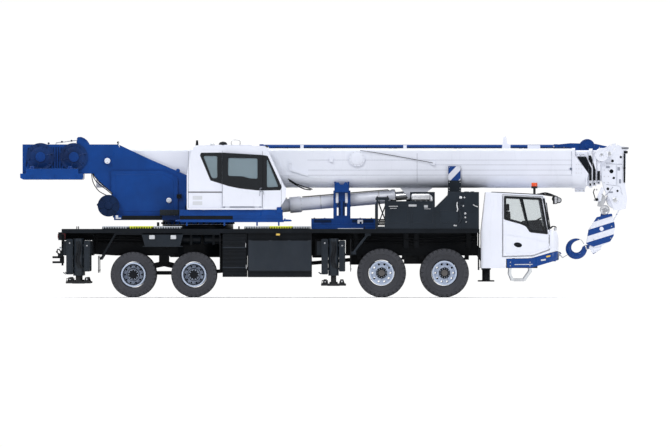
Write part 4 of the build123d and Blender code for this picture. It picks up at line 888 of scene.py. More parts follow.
def boom_posts():
    """Striped marker plates on the two posts, and their bolts."""
    plates, bolts = Parts(), Parts()
    face = -0.4842
    plates.plate(2.962, 2.802, 3.253, 3.143, 0.02, face, face - 0.004)
    bolts.bolts([(x, face - 0.004, z) for x in (2.985, 3.23) for z in (2.825, 3.12)], NEAR, 0.011, 0.008)
    bolts.bolts([(x, -0.484, z) for x in (2.98, 3.245) for z in (2.56, 2.62, 2.76)], NEAR, 0.013)
    plates.both().make("striped_plates", "post_stripes", "carrier", 0.001)
    bolts.both().make("post_bolts", "steel", "carrier")


def cradle_details():
    """Deck beam with its recesses, inner column, wear pads, guide rods and bolts of the boom cradle; navy
    plates paint the shade in the recesses and on the column's sides.
    """
    white, bolts, blue, dark = Parts(), Parts(), Parts(), Parts()
    for a, b in ((0.263, 0.325), (0.488, 0.55)):
        white.plate(a, 2.262, b, 2.5, 0.008, -0.3605, -0.3705)
    blue.boxes((0.328, -0.352, 1.8, 0.485, -0.3, 2.42), (0.384, -0.372, 1.86, 0.429, -0.35, 2.36))
    # Navy strips on the column's sides: painted shade
    for a, b in ((0.337, 0.375), (0.438, 0.476)):
        dark.plate(a, 1.9, b, 2.3, 0.01, -0.351, -0.354)
    blue.disc((0.4065, -0.33, 2.42), (0.4065, -0.37, 2.42), 0.055)
    for x in (0.246, 0.568):
        blue.disc((x, -0.39, 2.4), (x, -0.39, 2.765), 0.016, 12)
        blue.lathe([(0.022, 0), (0.022, 0.02), (0.008, 0.03)], (x, -0.39, 2.742), UP, 12)
    bolts.bolts([(x, -0.36, z) for x in (0.235, 0.585) for z in (1.95, 2.4)], NEAR, 0.01)
    bolts.bolts([(0.406, -0.372, z) for z in (1.9, 2.32)], NEAR, 0.009)
    bolts.bolts([(x, -0.56, 1.892) for x in (-0.25, 0.0, 0.85, 1.12)], UP, 0.016, 0.014)
    side = -0.6195
    for a, b in ((-0.324, -0.085), (0.968, 1.208)):
        blue.boxes((a, side, 1.735, b, side + 0.06, 1.892), (a, side, 1.872, b, 0, 1.892))
    # Navy strips in the beam's recesses: painted shade
    for a, b in ((-0.262, 0.16), (0.655, 1.17)):
        dark.plate(a, 1.79, b, 1.862, 0.02, side, side - 0.003)
    for z in (1.755, 1.672):
        blue.tube([(-0.3, side, z), (1.19, side, z)], 0.009)
    white.plate(0.785, 1.765, 0.915, 1.855, 0.01, side - 0.003, side - 0.009)
    # Navy square inside the white plate: painted shade
    dark.prism(rect(0.835, 1.765, 0.885, 1.815), side - 0.009, side - 0.012)
    white.box((0.31, side, 1.642), (0.92, side - 0.05, 1.656))
    blue.both().make("cradle_beam_and_column", "blue", "carrier", 0.003)
    dark.both().make("cradle_painted_shade", "navy", "carrier", 0.001)
    white.both().make("cradle_pads", "white", "carrier", 0.002)
    bolts.both().make("cradle_bolts", "fastener", "carrier")


hood_details()
exhaust()
top_fittings()
rack_details()
boom_posts()
cradle_details()


# Driver's cab

CAB_FACE = -1.24
DOOR_WINDOW = [(4.33, 1.9), (4.33, 2.385), (5.15, 2.345), (5.29, 1.56), (4.93, 1.6), (4.84, 1.74),
               (4.69, 1.8)]
DOOR_EDGE = [(4.27, 0.99), (4.27, 2.44), (5.195, 2.395), (5.36, 1.64), (5.36, 1.15), (4.98, 1.01)]


def door_windows():
    """Frame and rubber of each cab door's window."""
    for side, outward in SIDES:
        face = 1.239
        for name, key, out, out_corner, hole, hole_corner, proud, depth in (
            ("frame", "gloss_black", 0.045, 0.04, -0.004, 0.02, 0.006, 0.0075),
            ("rubber", "hose", 0.006, 0.03, -0.012, 0.02, 0.012, 0.012),
        ):
            outline = rounded(grown(DOOR_WINDOW, out), out_corner)
            opening = rounded(grown(DOOR_WINDOW, hole), hole_corner)
            y = outward * (face + proud)
            panel(f"door_window_{name}_{side}", outline, [opening], y, depth, f"driver_door_{side}", key)


def door_parts():
    """Handle, window bar, pressed lower field with its crease, and inner trim of each cab door."""
    dark, white, inside = Parts(), Parts(), Parts()
    face = -1.239
    oval = [(4.622 + 0.098 * c, 1.258 + 0.058 * s - 0.012 * c) for c, s in circle(24)]
    dark.prism(oval, face, face - 0.008)
    grip = face - 0.035
    dark.pipe([(4.57, face, 1.26), (4.59, grip, 1.262), (4.66, grip, 1.266), (4.68, face, 1.268)], 0.009)
    dark.prism([(4.68, 2.372), (4.74, 2.369), (4.9, 1.66), (4.84, 1.75)], -1.213, -1.2355)
    white.prism([(4.275, 1.545), (5.355, 1.345), (5.355, 1.325), (4.275, 1.525)], face, face - 0.007)
    field = [(4.33, 1.05), (4.96, 1.07), (5.3, 1.19), (5.3, 1.31), (4.33, 1.49)]
    white.prism(rounded(field, 0.04), face, face - 0.004)
    trim = face + 0.0605
    low = [(4.33, 1.06), (4.95, 1.08), (5.27, 1.2), (5.27, 1.5), (4.33, 1.72)]
    high = [(4.74, 1.835), (5.19, 1.858), (5.262, 1.47), (4.95, 1.585), (4.86, 1.7), (4.74, 1.735)]
    for outline, corner in ((low, 0.06), (high, 0.03)):
        inside.prism(rounded(outline, corner), trim, trim + 0.02)
    dark.pair("door_black", "black", "driver_door", 0.002)
    white.pair("door_crease", "white", "driver_door", 0.003)
    inside.pair("door_trim", "seat", "driver_door", 0.005)


def cab_skin():
    """Screen pillars, door seams and roof gutters on the shell."""
    black = Parts()
    pillar = [(5.215, 2.375), (5.262, 2.37), (5.385, 1.63), (5.37, 1.6), (5.335, 1.61)]
    for side, outward in SIDES:
        panel(f"screen_pillar_{side}", pillar, [], outward * 1.243, 0.006, "carrier")
    seam = grown(DOOR_EDGE, 0.022)
    for p, q in zip(seam, seam[1:] + seam[:1]):
        black.tube([(x, CAB_FACE - 0.001, z) for x, z in (p, q)], 0.0035, 6)
    black.tube([(x, CAB_FACE * 0.985, z) for x, z in ((4.0, 2.518), (4.26, 2.508), (5.2, 2.458))], 0.012)
    black.both().make("cab_seams", "black", "carrier")


def screen_x(z, out=0.0):
    """The windscreen's place at a height: it slants from (5.275, 2.39) to (5.37, 1.635)."""
    return 5.275 + (2.39 - z) * 0.1258 + out


def windscreen_surround():
    """Black border, wipers and the panel lines of the cab's front."""
    black, rods = Parts(), Parts()
    for z0, z1 in ((1.66, 1.722), (2.358, 2.385)):
        strip = [(screen_x(z, out), z) for z, out in ((z0, 0.004), (z1, 0.004), (z1, -0.02), (z0, -0.02))]
        black.prism(strip, -1.02, 1.02)
    for y in (-0.75, 0.05):
        pivot = Vector((screen_x(1.68, 0.02), y, 1.68))
        tip = Vector((screen_x(2.1, 0.03), y + 0.45, 2.08))
        inner, outer, out = (Vector((x, 0, 0)) for x in (-0.03, 0.015, 0.012))
        rods.tube([pivot + inner, pivot + outer, pivot.lerp(tip, 0.5) + out, tip], 0.007)
        blade = (tip - pivot).normalized()
        rods.tube([tip - blade * 0.32, tip + blade * 0.28], 0.009, 6)
        rods.disc(pivot + inner, pivot + Vector((0.02, 0, 0)), 0.02, 16)
    for i in range(9):
        y = -0.72 + 0.18 * i
        black.box((5.56, y - 0.07, 1.215), (5.597, y + 0.07, 1.235))
    black.box((5.545, -0.8, 1.3), (5.5995, 0.8, 1.31))
    black.make("windscreen_border", "gloss_black", "carrier", 0.002)
    rods.make("wipers", "black", "carrier")


def mirrors():
    """Mirror arms, round heads and glass, and the low mirror before the screen."""
    black, bright = Parts(), Parts()
    black.pipe([(5.16, -1.12, 2.478), (5.3, -1.2, 2.5), (5.5, -1.29, 2.43), (5.52, -1.29, 2.4)], 0.016, 10)
    bright.plate(5.5, 2.25, 5.55, 2.41, 0.01, -1.3981, -1.4005)
    for x, z in ((5.534, 2.362), (5.6, 2.325)):
        black.lathe([(0.05, 0), (0.066, 0.012), (0.07, 0.03), (0.05, 0.05)], (x, -1.175, z), NEAR, 28)
        bright.disc((x, -1.2255, z), (x, -1.229, z), 0.05, 28)
    black.tube([(5.53, -1.19, 2.362), (5.6, -1.19, 2.325)], 0.012)
    black.pipe([(5.4, -1.0, 1.64), (5.47, -1.03, 1.7), (5.53, -1.05, 1.69), (5.545, -1.05, 1.65)], 0.01)
    bright.plate(5.51, 1.6, 5.55, 1.665, 0.012, -1.0, -1.1)
    black.both().make("mirror_arms", "black", "carrier", 0.003)
    bright.both().make("mirror_glass", "chrome", "carrier")


def seats():
    """Padded cushions, backs and headrests over the seat frames."""
    bars = Parts()
    for i, y in enumerate((-0.65, 0.65)):
        soft = Parts()
        soft.box((4.385, y - 0.25, 1.43), (4.89, y + 0.25, 1.52))
        soft.prism([(4.415, 1.5), (4.48, 1.5), (4.44, 2.06), (4.375, 2.06)], y - 0.235, y + 0.235)
        soft.prism([(4.345, 2.075), (4.425, 2.075), (4.42, 2.24), (4.355, 2.24)], y - 0.13, y + 0.13)
        piece = soft.make(f"cab_seat_{i}", "seat", "carrier", 0.022)
        for low in (y - 0.07, y + 0.05):
            bars.box((4.36, low, 2.0), (4.38, low + 0.02, 2.15))
    bars.make("headrest_bars", "steel", "carrier")


def front_details():
    """Lamps, light line, step treads and bolts of the bumper, its shackle and the hook's tie."""
    clear, amber, dark, steel, white, tie = (Parts() for _ in range(6))
    white.prism([(4.54, 0.777), (4.97, 0.784), (4.97, 0.8), (4.54, 0.793)], CAB_FACE, CAB_FACE - 0.004)
    amber.prism(rounded([(5.3, 0.955), (5.4, 0.975), (5.4, 1.01), (5.3, 0.995)], 0.012), -1.222, -1.2455)
    clear.prism(rounded([(5.17, 0.87), (5.29, 0.885), (5.29, 0.925), (5.17, 0.91)], 0.012), -1.236, -1.2455)
    for y, r in ((-0.98, 0.085), (-0.78, 0.07)):
        dark.lathe([(r + 0.02, -0.05), (r + 0.02, 0.006), (r, 0.01)], (5.588, y, 1.0), AHEAD)
        clear.lathe([(r, 0), (r * 0.98, 0.012), (r * 0.5, 0.02)], (5.5975, y, 1.0), AHEAD)
    dark.box((5.585, -1.12, 0.905), (5.6, -0.62, 0.94))
    for i in range(5):
        x = 4.53 + 0.055 * i
        steel.box((x - 0.008, -1.235, 0.4305), (x + 0.008, -1.05, 0.4365))
    steel.bolts([(x, CAB_FACE, z) for x in (4.44, 4.91) for z in (0.76, 0.84)])
    steel.box((4.53, -1.244, 0.385), (4.77, -1.238, 0.437))
    steel.both()
    shackle = [(5.635, -0.045, 1.045), (5.66, -0.045, 1.0), (5.7, -0.03, 0.955)]
    steel.tube(shackle + [(5.715, 0.0, 0.945)] + [(x, -y, z) for x, y, z in reversed(shackle)], 0.014, 12)
    steel.disc((5.635, -0.062, 1.045), (5.635, 0.062, 1.045), 0.0172, 20)
    tie.tube([(5.715, 0.0, 0.955), (5.86, 0.0, 1.035)], 0.008)
    clear.both().make("head_lamps", "clear", "carrier")
    amber.both().make("front_indicators", "amber", "carrier")
    dark.both().make("lamp_bezels", "black", "carrier", 0.002)
    steel.make("step_treads_and_shackle", "steel", "carrier")
    white.both().make("bumper_light_line", "label", "carrier")
    tie.make("hook_tie", "rope", "carrier")


def beacon_details():
    """Ring and dome of the beacon."""
    ring_profile = [(0.078, 0), (0.082, 0.006), (0.078, 0.012)]
    Parts().lathe(ring_profile, (5.02, -0.9, 2.648), UP).make("beacon_ring", "black", "carrier")
    angles = (0.0, 0.3, 0.6, 0.9, 1.2, 1.45)
    dome = [(0.0735, 0.0)] + [(0.0735 * math.cos(a), 0.045 + 0.042 * math.sin(a)) for a in angles]
    Parts().lathe(dome, (5.02, -0.9, 2.661), UP).make("beacon_dome", "beacon", "carrier")


door_windows()
door_parts()
cab_skin()
windscreen_surround()
mirrors()
seats()
front_details()
beacon_details()


# Upper works

OP_FACE = -1.33
OP_DOOR_FACE = -1.38
OP_DOOR_WINDOW = [(-2.325, 2.895), (-2.325, 3.35), (-1.595, 3.34), (-1.595, 2.825), (-1.795, 2.835),
                  (-1.965, 2.885)]
OP_REAR_WINDOW = [(-2.95, 3.415), (-2.54, 3.415), (-2.54, 2.82), (-2.72, 2.82)]
OP_FRONT_WINDOW = [(-1.415, 3.325), (-1.35, 3.32), (-1.105, 2.72), (-1.07, 2.62), (-1.415, 2.6)]
OP_DOOR_BAND = [(-2.453, 3.466), (-1.494, 3.408), (-1.494, 2.558), (-1.62, 2.562), (-2.02, 2.605),
                (-2.3, 2.662), (-2.453, 2.712)]
OP_REAR_BAND = [(-2.985, 3.4), (-2.96, 3.462), (-2.457, 3.466), (-2.457, 2.712), (-2.735, 2.8)]
OP_FRONT_BAND = [(-1.49, 3.408), (-1.365, 3.386), (-1.027, 2.645), (-1.061, 2.566), (-1.49, 2.558)]


def slide_rail_and_steps():
    """Handrails, step grating and uprights under the operator's cab."""
    blue, dark = Parts(), Parts()
    blue.box((-3.46, -1.335, 1.8), (-0.98, -1.3, 1.862))
    for x in (-3.3, -2.4, -1.62, -1.1):
        blue.box((x - 0.02, -1.33, 1.715), (x + 0.02, -1.29, 1.81))
    rail = ((-3.385, 1.84), (-3.4, 1.835), (-0.98, 1.835), (-0.955, 1.855), (-0.96, 1.89))
    blue.pipe([(x, -1.31, z) for x, z in rail], 0.02, 10)
    dark.box((-3.47, -1.318, 1.868), (-2.2, -1.295, 1.95))
    for i in range(40):
        x = -3.4 + 0.06 * i
        dark.box((x, -1.29, 1.961), (x + 0.008, -0.62, 1.975))
    blue.box((-3.475, -1.312, 1.955), (-1.005, -1.27, 2.098))
    blue.bolts([(x, -1.312, 2.03) for x in (-3.35, -2.9, -2.3, -1.7, -1.15)])
    blue.plate(-1.15, 2.02, -1.03, 2.16, 0.02, -1.345, -1.31)
    blue.make("cab_support_rails", "blue", "upperworks", 0.003)
    dark.make("cab_support_dark", "black", "upperworks")


def operator_windows():
    """Black window bands, door handle, seam and blank labels of the operator's cab."""
    for i, (band, window) in enumerate(((OP_REAR_BAND, OP_REAR_WINDOW), (OP_FRONT_BAND, OP_FRONT_WINDOW))):
        hole = rounded(grown(window, -0.03), 0.05)
        for y, tag in ((OP_FACE - 0.003, "near"), (-0.577, "far")):
            panel(f"op_band_{i}_{tag}", rounded(band, 0.012), [hole], y, 0.006, "upperworks")
    hole = rounded(grown(OP_DOOR_WINDOW, -0.012), 0.04)
    panel("op_door_band", rounded(OP_DOOR_BAND, 0.006), [hole], OP_DOOR_FACE - 0.003, 0.006, "operator_door")
    dark, white, label = Parts(), Parts(), Parts()
    face = OP_DOOR_FACE
    grip = face - 0.012
    # The handle takes the grey of the shadow material: a white handle painted as shaded
    white.pipe([(-1.555, face, 2.45), (-1.555, grip, 2.44), (-1.545, face - 0.014, 2.6), (-1.5, grip, 2.615)],
               0.006)
    white.pipe([(-1.545, face, 2.52), (-1.54, grip, 2.535), (-1.47, grip, 2.53), (-1.46, grip, 2.46)], 0.007)
    dark.box((-2.44, face - 0.004, 2.155), (-1.51, face + 0.001, 2.17))
    dark.make("op_door_black", "seam", "operator_door")
    white.make("op_door_handle", "seam", "operator_door")
    for z in (2.385, 2.255):
        label.plate(-3.16, z - 0.045, -2.93, z + 0.045, 0.012, OP_FACE - 0.003, OP_FACE)
    label.make("blank_labels", "label", "upperworks")


def operator_cab_details():
    """Seams, slide rail, wipers, roof hatch, lamps, dome and handles of the operator's cab."""
    black, white, clear, steel = Parts(), Parts(), Parts(), Parts()
    black.box((-3.27, OP_FACE - 0.006, 2.506), (-2.46, OP_FACE + 0.001, 2.532))
    steel.tube([(x, OP_FACE - 0.002, 2.519) for x in (-3.27, -2.46)], 0.005)
    for x, top in ((-3.262, 3.5), (-2.452, 3.5), (-1.492, 3.5), (-1.04, 2.8)):
        black.box((x - 0.003, OP_FACE - 0.0015, 2.14), (x + 0.003, OP_FACE + 0.001, top))
    for y in (-1.18, -0.75):
        black.tube([(-1.37, y, 3.46), (-1.3, y, 3.3), (-1.1, y + 0.06, 2.92)], 0.008)
        black.tube([(-1.245, y, 3.22), (-1.04, y + 0.12, 2.8)], 0.01, 6)
        black.disc((-1.4, y, 3.46), (-1.35, y, 3.49), 0.022, 16)
    white.box((-2.85, -1.2, 3.625), (-1.75, -0.72, 3.652))
    clear.lathe([(0.055, 0), (0.055, 0.03), (0.035, 0.055)], (-2.693, -1.2, 3.64), UP, 24)
    black.prism([(-3.09, 3.62), (-3.02, 3.62), (-3.03, 3.76), (-3.08, 3.76)], -1.25, -1.242)
    black.lathe([(0.105, 0), (0.1, 0.035), (0.07, 0.07), (0.02, 0.085)], (-2.435, -1.1, 3.645), UP)
    handle = ((-2.23, 3.64), (-2.23, 3.74), (-2.13, 3.77), (-2.03, 3.74), (-2.03, 3.64))
    steel.pipe([(x, -1.25, z) for x, z in handle], 0.011, 10)
    for y in (-1.2, -0.72):
        clear.lathe([(0.05, -0.02), (0.06, 0.0), (0.055, 0.03), (0.03, 0.04)], (-1.39, y, 3.56),
                    (0.8, 0, -0.6), 24)
        black.disc((-1.44, y, 3.6), (-1.39, y, 3.56), 0.066)
    black.make("op_cab_black", "black", "upperworks")
    white.make("op_cab_hatch", "white", "upperworks", 0.006)
    clear.make("op_cab_lamps", "clear", "upperworks")
    steel.make("op_cab_steel", "steel", "upperworks")


def operator_seat():
    """Padded seat, its headrest bars and the control levers on both sides of it."""
    y = -0.955
    soft, bars, knobs = Parts(), Parts(), Parts()
    soft.box((-2.58, y - 0.24, 2.66), (-2.03, y + 0.24, 2.76))
    soft.prism([(-2.535, 2.74), (-2.455, 2.74), (-2.5, 3.24), (-2.58, 3.24)], y - 0.225, y + 0.225)
    soft.prism([(-2.6, 3.27), (-2.52, 3.27), (-2.53, 3.42), (-2.6, 3.42)], y - 0.13, y + 0.13)
    piece = soft.make("op_seat_pads", "seat", "upperworks", 0.022)
    grip = [(0.012, 0), (0.022, 0.015), (0.022, 0.045), (0.01, 0.06)]
    for s in (-1, 1):
        lever = y + s * 0.285
        for x in (-2.15, -2.28):
            knobs.tube([(x, lever, 2.78), (x + 0.02, lever, 2.93)], 0.008)
            knobs.lathe(grip, (x + 0.02, lever, 2.92), UP, 16)
        bars.box((-2.575, y + s * 0.07 - 0.01, 3.2), (-2.555, y + s * 0.07 + 0.01, 3.3))
    bars.make("op_headrest_bars", "steel", "upperworks")
    knobs.make("op_levers", "black", "upperworks")


def slewing_details():
    """Cover plates, pins, hoses, tank fittings, louvred box and bolts of the slewing frame and ring."""
    blue, white, dark, steel, hoses, bracket, box, bolts = (Parts() for _ in range(8))
    for x, z, r in ((-5.21, 3.27, 0.07), (-3.735, 2.325, 0.062)):
        white.lathe([(r, 0), (r, 0.012), (r * 0.8, 0.02)], (x, -0.5995, z))
        spots = [(x + r * 0.55 * math.cos(a), -0.6185, z + r * 0.55 * math.sin(a)) for a in (0.5, 2.6, 4.7)]
        steel.bolts(spots, NEAR, 0.01, 0.008)
    blue.lathe([(0.05, 0), (0.05, 0.02), (0.028, 0.02)], (-3.52, -0.525, 3.033), NEAR, 28)
    web = [(-5.06, 3.0), (-5.06, 2.12), (-4.95, 2.01), (-3.58, 2.01), (-3.58, 2.84), (-3.86, 3.0)]
    blue.prism(rounded(grown(web, -0.05), 0.05), -0.577, -0.569)
    dark.plate(-3.55, 2.37, -3.43, 2.47, 0.02, -0.6, -0.52)
    for y, path in (
        (-0.62, ((-5.585, 2.96), (-5.575, 2.85), (-5.53, 2.71), (-5.41, 2.545), (-5.22, 2.44), (-5.1, 2.38))),
        (-0.66, ((-5.56, 2.96), (-5.54, 2.88), (-5.46, 2.76), (-5.34, 2.66), (-5.22, 2.57), (-5.1, 2.47))),
        (-0.69, ((-5.54, 2.96), (-5.52, 2.9), (-5.42, 2.79), (-5.3, 2.68), (-5.18, 2.58), (-5.08, 2.48))),
    ):
        hoses.pipe([(x, y + 0.08 if i == 0 else y, z) for i, (x, z) in enumerate(path)], 0.011)
    steel.pipe([(-4.92, -0.6, 3.6), (-4.94, -0.6, 3.68), (-4.92, -0.6, 3.72)], 0.01)
    dark.lathe([(0.012, 0), (0.012, 0.03), (0.028, 0.05), (0.02, 0.08)], (-4.955, -0.545, 3.655), UP, 16)
    box.box((-3.95, -0.94, 1.962), (-3.34, -0.6, 2.1))
    for i in range(9):
        x = -3.93 + 0.065 * i
        box.box((x, -0.956, 1.985), (x + 0.035, -0.939, 2.08))
    bolts.box((-4.86, -0.8, 1.862), (-3.9, -0.762, 1.955))
    for x, y in ring((-3.045, 0), 0.79, 24):
        steel.disc((x, y, 1.958), (x, y, 1.985), 0.02, 6)
    for x, y in ring((-3.045, 0), 0.86, 36):
        bolts.disc((x, y, 1.755), (x, y, 1.8), 0.022, 6)
    for x in (-4.45, -3.85, -3.25):
        dark.disc((x, 0.88, 2.9), (x, 0.88, 2.93), 0.07)
        steel.disc((x, 0.88, 2.93), (x, 0.88, 2.945), 0.045)
    dark.box((-4.52, 1.1995, 2.2), (-4.4, 1.215, 2.75))
    for x in (-4.25, -3.35):
        steel.box((x - 0.03, 1.199, 2.06), (x + 0.03, 1.206, 2.89))
    foot = [(-5.01, 1.88), (-4.88, 1.88), (-4.88, 1.905), (-4.95, 1.91), (-4.95, 1.965), (-5.01, 1.965)]
    bracket.prism(foot, -0.8, -0.765)
    blue.make("slewing_webs", "blue", "upperworks", 0.004)
    white.make("slewing_pin_discs", "white", "upperworks", 0.002)
    hoses.make("slewing_hoses", "hose", "upperworks")
    box.make("slewing_louvres", "charcoal", "upperworks", 0.002)
    bolts.make("slew_ring_bolts", "black", "upperworks", 0.003)
    dark.make("slewing_dark", "black", "upperworks", 0.002)
    steel.make("slewing_steel", "steel", "upperworks")
    bracket.make("white_bracket", "white", "upperworks", 0.003)


def spokes(part, x, y, z, count, start, inner, outer, radius):
    """Round ribs on a disc's face."""
    for c, s in circle(count, start):
        part.tube([(x + r * c, y, z + r * s) for r in (inner, outer)], radius, 6)


def hose_reel():
    """Face, spokes and hub of the hose reel, in the navy that paints shade."""
    reel = Parts()
    face = [(0.262, 0), (0.262, 0.012), (0.236, 0.016), (0.23, 0.006), (0.1, 0.01), (0.085, 0.035),
            (0.05, 0.04)]
    reel.lathe(face, (-5.18, -0.7605, 2.195), NEAR, 48)
    spokes(reel, -5.18, -0.775, 2.195, 6, 0.3, 0.09, 0.225, 0.01)
    reel.disc((-5.46, -0.72, 2.22), (-5.42, -0.72, 2.22), 0.025, 12)
    reel.make("hose_reel_face", "navy", "upperworks", 0.002)


def winch_details(blue):
    """Stepped end plates, wound rope, bolts and ribs of both winches, with plates, ribs, bolts and knobs in
    dark colours of painted shade; the hubs join the blue parts.
    """
    rope, dark, plate = Parts(), Parts(), Parts()
    y, z = -0.5445, 3.365
    disc = [(0.335, 0), (0.333, 0.006), (0.3, 0.009), (0.29, 0.004), (0.235, 0.004), (0.225, 0.009),
            (0.13, 0.011)]
    for x in (-6.815, -6.015):
        plate.lathe(disc, (x, y, z), NEAR, 56)
        spokes(plate, x, y - 0.006, z, 6, 0.26, 0.12, 0.325, 0.012)
        blue.lathe([(0.112, 0), (0.112, 0.02), (0.096, 0.034), (0.04, 0.036)], (x, y, z), NEAR, 40)
        dark.bolts([(px, -0.556, pz) for px, pz in ring((x, z), 0.27, 8, 0.2)], NEAR, 0.014, 0.014)
        blue.bolts([(px, -0.58, pz) for px, pz in ring((x, z), 0.085, 8, 0.2)], NEAR, 0.01, 0.01)
        turns = 34
        for i in range(turns):
            turn = (x, -0.425 + 0.85 * i / (turns - 1), z)
            rope.lathe([(0.211, -0.0125), (0.2225, -0.006), (0.2225, 0.006), (0.211, 0.0125)], turn,
                       (0, 1, 0), 28)
    # Ribs in the navy of painted shade
    for i in range(8):
        x = -6.62 + 0.06 * i
        dark.tube([(x, -0.53, 3.1), (x, -0.53, 3.6)], 0.01, 6)
    dark.tube([(-7.16, -0.53, 3.14), (-7.1, -0.53, 3.58)], 0.012, 6)
    dark.both()
    for x in (-6.62, -6.3, -6.07):
        dark.lathe(KNOB, (x, -0.495, 3.67 + (x + 6.62) * 0.11), UP, 12)
    rope.make("wound_rope", "rope", "upperworks")
    dark.make("winch_ribs", "navy", "upperworks", 0.001)
    # End plates in the darkened blue of painted shade
    plate.both().make("winch_end_plates", "dark_blue", "upperworks", 0.001)


def tail_details():
    """Winches, tail hump, light bars, hand rail and the counterweight's eyes and bolts."""
    blue, steel, white = Parts(), Parts(), Parts()
    winch_details(blue)
    hump = [(-5.937, 3.69), (-5.937, 3.745), (-5.923, 3.812), (-5.885, 3.843), (-5.84, 3.845), (-5.778, 3.82),
            (-5.711, 3.77), (-5.655, 3.69)]
    blue.prism(hump, -0.4, -0.47)
    for x in (-7.0, -6.1):
        blue.lathe([(0.06, 0), (0.055, 0.06), (0.02, 0.065)], (x, -1.0, 3.079), UP, 24)
    blue.bolts([(x, -1.2, 2.9) for x in (-7.0, -6.45, -5.95)], NEAR, 0.02, 0.016)
    for a, b, z in ((-7.14, -6.65, 2.98), (-6.74, -6.26, 3.06)):
        white.plate(a, z - 0.014, b, z + 0.014, 0.01, -0.545, -0.519)
    rail = ((-6.444, 3.665), (-6.444, 3.703), (-5.947, 3.766), (-5.947, 3.7))
    steel.tube([(x, -0.495, z) for x, z in rail], 0.014, 10)
    blue.both().make("tail_details", "blue", "upperworks", 0.003)
    white.make("tail_light_bars", "label", "upperworks", 0.002)
    steel.make("tail_steel", "steel", "upperworks")


slide_rail_and_steps()
operator_windows()
operator_cab_details()
operator_seat()
slewing_details()
hose_reel()
tail_details()


# Boom, jib, lift cylinder and hook

BOOM_SIDE = -0.43


def boom_skin():
    """Weld seams, screws, brackets, rope guide and hoses on the base section."""
    line, bright, dark, white = Parts(), Parts(), Parts(), Parts()
    side = BOOM_SIDE
    for z, a, b in ((3.29, -0.42, 5.95), (3.175, 2.6, 6.02), (3.05, -0.4, 6.1), (2.93, -0.4, 6.1)):
        line.box((a, side - 0.0025, z - 0.003), (b, side + 0.001, z + 0.003))
    for x, z0, z1 in ((2.213, 2.66, 3.45), (5.915, 2.95, 3.5)):
        line.box((x - 0.004, side - 0.0025, z0), (x + 0.004, side + 0.001, z1))
    for z, b in ((3.29, 5.95), (3.05, 6.0)):
        line.box((-1.5, -side - 0.001, z - 0.003), (b, -side + 0.0025, z + 0.003))
    x, z = 0.77, 3.324
    white.lathe([(0.15, 0), (0.15, 0.008), (0.12, 0.016), (0.05, 0.018)], (x, -0.4775, z), NEAR, 48)
    cover_screws = [(x + 0.17 * math.cos(0.52 * i), -0.478, z + 0.17 * math.sin(0.52 * i)) for i in range(12)]
    bright.bolts(cover_screws, NEAR, 0.01, 0.009)
    for x, z in ((0.11, 3.24), (2.55, 3.17)):
        white.plate(x, z, x + 0.09, z + (0.11 if x < 1 else 0.09), 0.015, side - 0.05, side + 0.002)
    for radius, route in (
        (0.007, ((0.85, 0.05, 3.52), (1.2, 0.035, 3.47), (1.9, 0.03, 3.35), (2.59, 0.055, 3.22))),
        (0.014, ((-0.86, 0.05, 2.8), (-0.7, 0.04, 2.7), (-0.5, 0.02, 2.6), (-0.34, -0.05, 2.575))),
        (0.014, ((-0.88, 0.08, 2.84), (-0.68, 0.07, 2.72), (-0.46, 0.05, 2.64), (-0.3, -0.02, 2.59))),
    ):
        dark.pipe([(x, side - out, z) for x, out, z in route], radius)
    for x in (6.03, 6.09, 6.15):
        bright.bolts([(x, -0.4442, z) for z in (2.98, 3.08, 3.18)], NEAR, 0.012, 0.01)
    bright.bolts([(x, side - 0.032, 3.2) for x in (-0.85, -0.82)], NEAR, 0.01, 0.01)
    bright.bolts([(x, -0.15, 2.56) for x in (6.03, 6.12, 6.21)])
    for i in range(8):
        x = -0.9 + 0.95 * i
        dark.tube([(x, 0.2, 3.564), (x, 0.2, 3.6), (x, 0.26, 3.6), (x, 0.26, 3.564)], 0.006)
    dark.tube([(-1.2, 0.23, 3.585), (5.9, 0.23, 3.585)], 0.01)
    line.make("boom_seams", "seam", "boom")
    white.make("boom_brackets", "white", "boom", 0.003)
    dark.make("boom_lines", "black", "boom")
    bright.make("boom_bolts", "steel", "boom")


# Black panels that paint the shade in the gaps at the mouths: body, place of its near side, outlines in (x,
# z)
MOUTH_SHADE_PANELS = (
    ("boom", -0.4305, ([(6.045, 3.37), (6.262, 3.37), (6.317, 3.258), (6.317, 2.975)],)),
    ("boom_section_2", -0.4305, (
        [(6.322, 3.245), (6.4, 3.09), (6.4, 2.8), (6.338, 2.8), (6.338, 2.94), (6.322, 2.97)],
        [(6.322, 3.307), (6.322, 3.4), (6.385, 3.4), (6.416, 3.3), (6.416, 3.12)],
        rect(6.345, 2.67, 6.385, 2.735))),
    ("boom_section_3", -0.3955, (
        [(6.422, 3.275), (6.498, 3.05), (6.498, 2.8), (6.432, 2.8), (6.432, 3.09), (6.422, 3.11)],
        rect(6.445, 2.7, 6.485, 2.745))),
    ("boom_section_4", -0.3605, (rect(6.535, 2.8, 6.6, 3.03), rect(6.545, 2.73, 6.585, 2.76))),
)


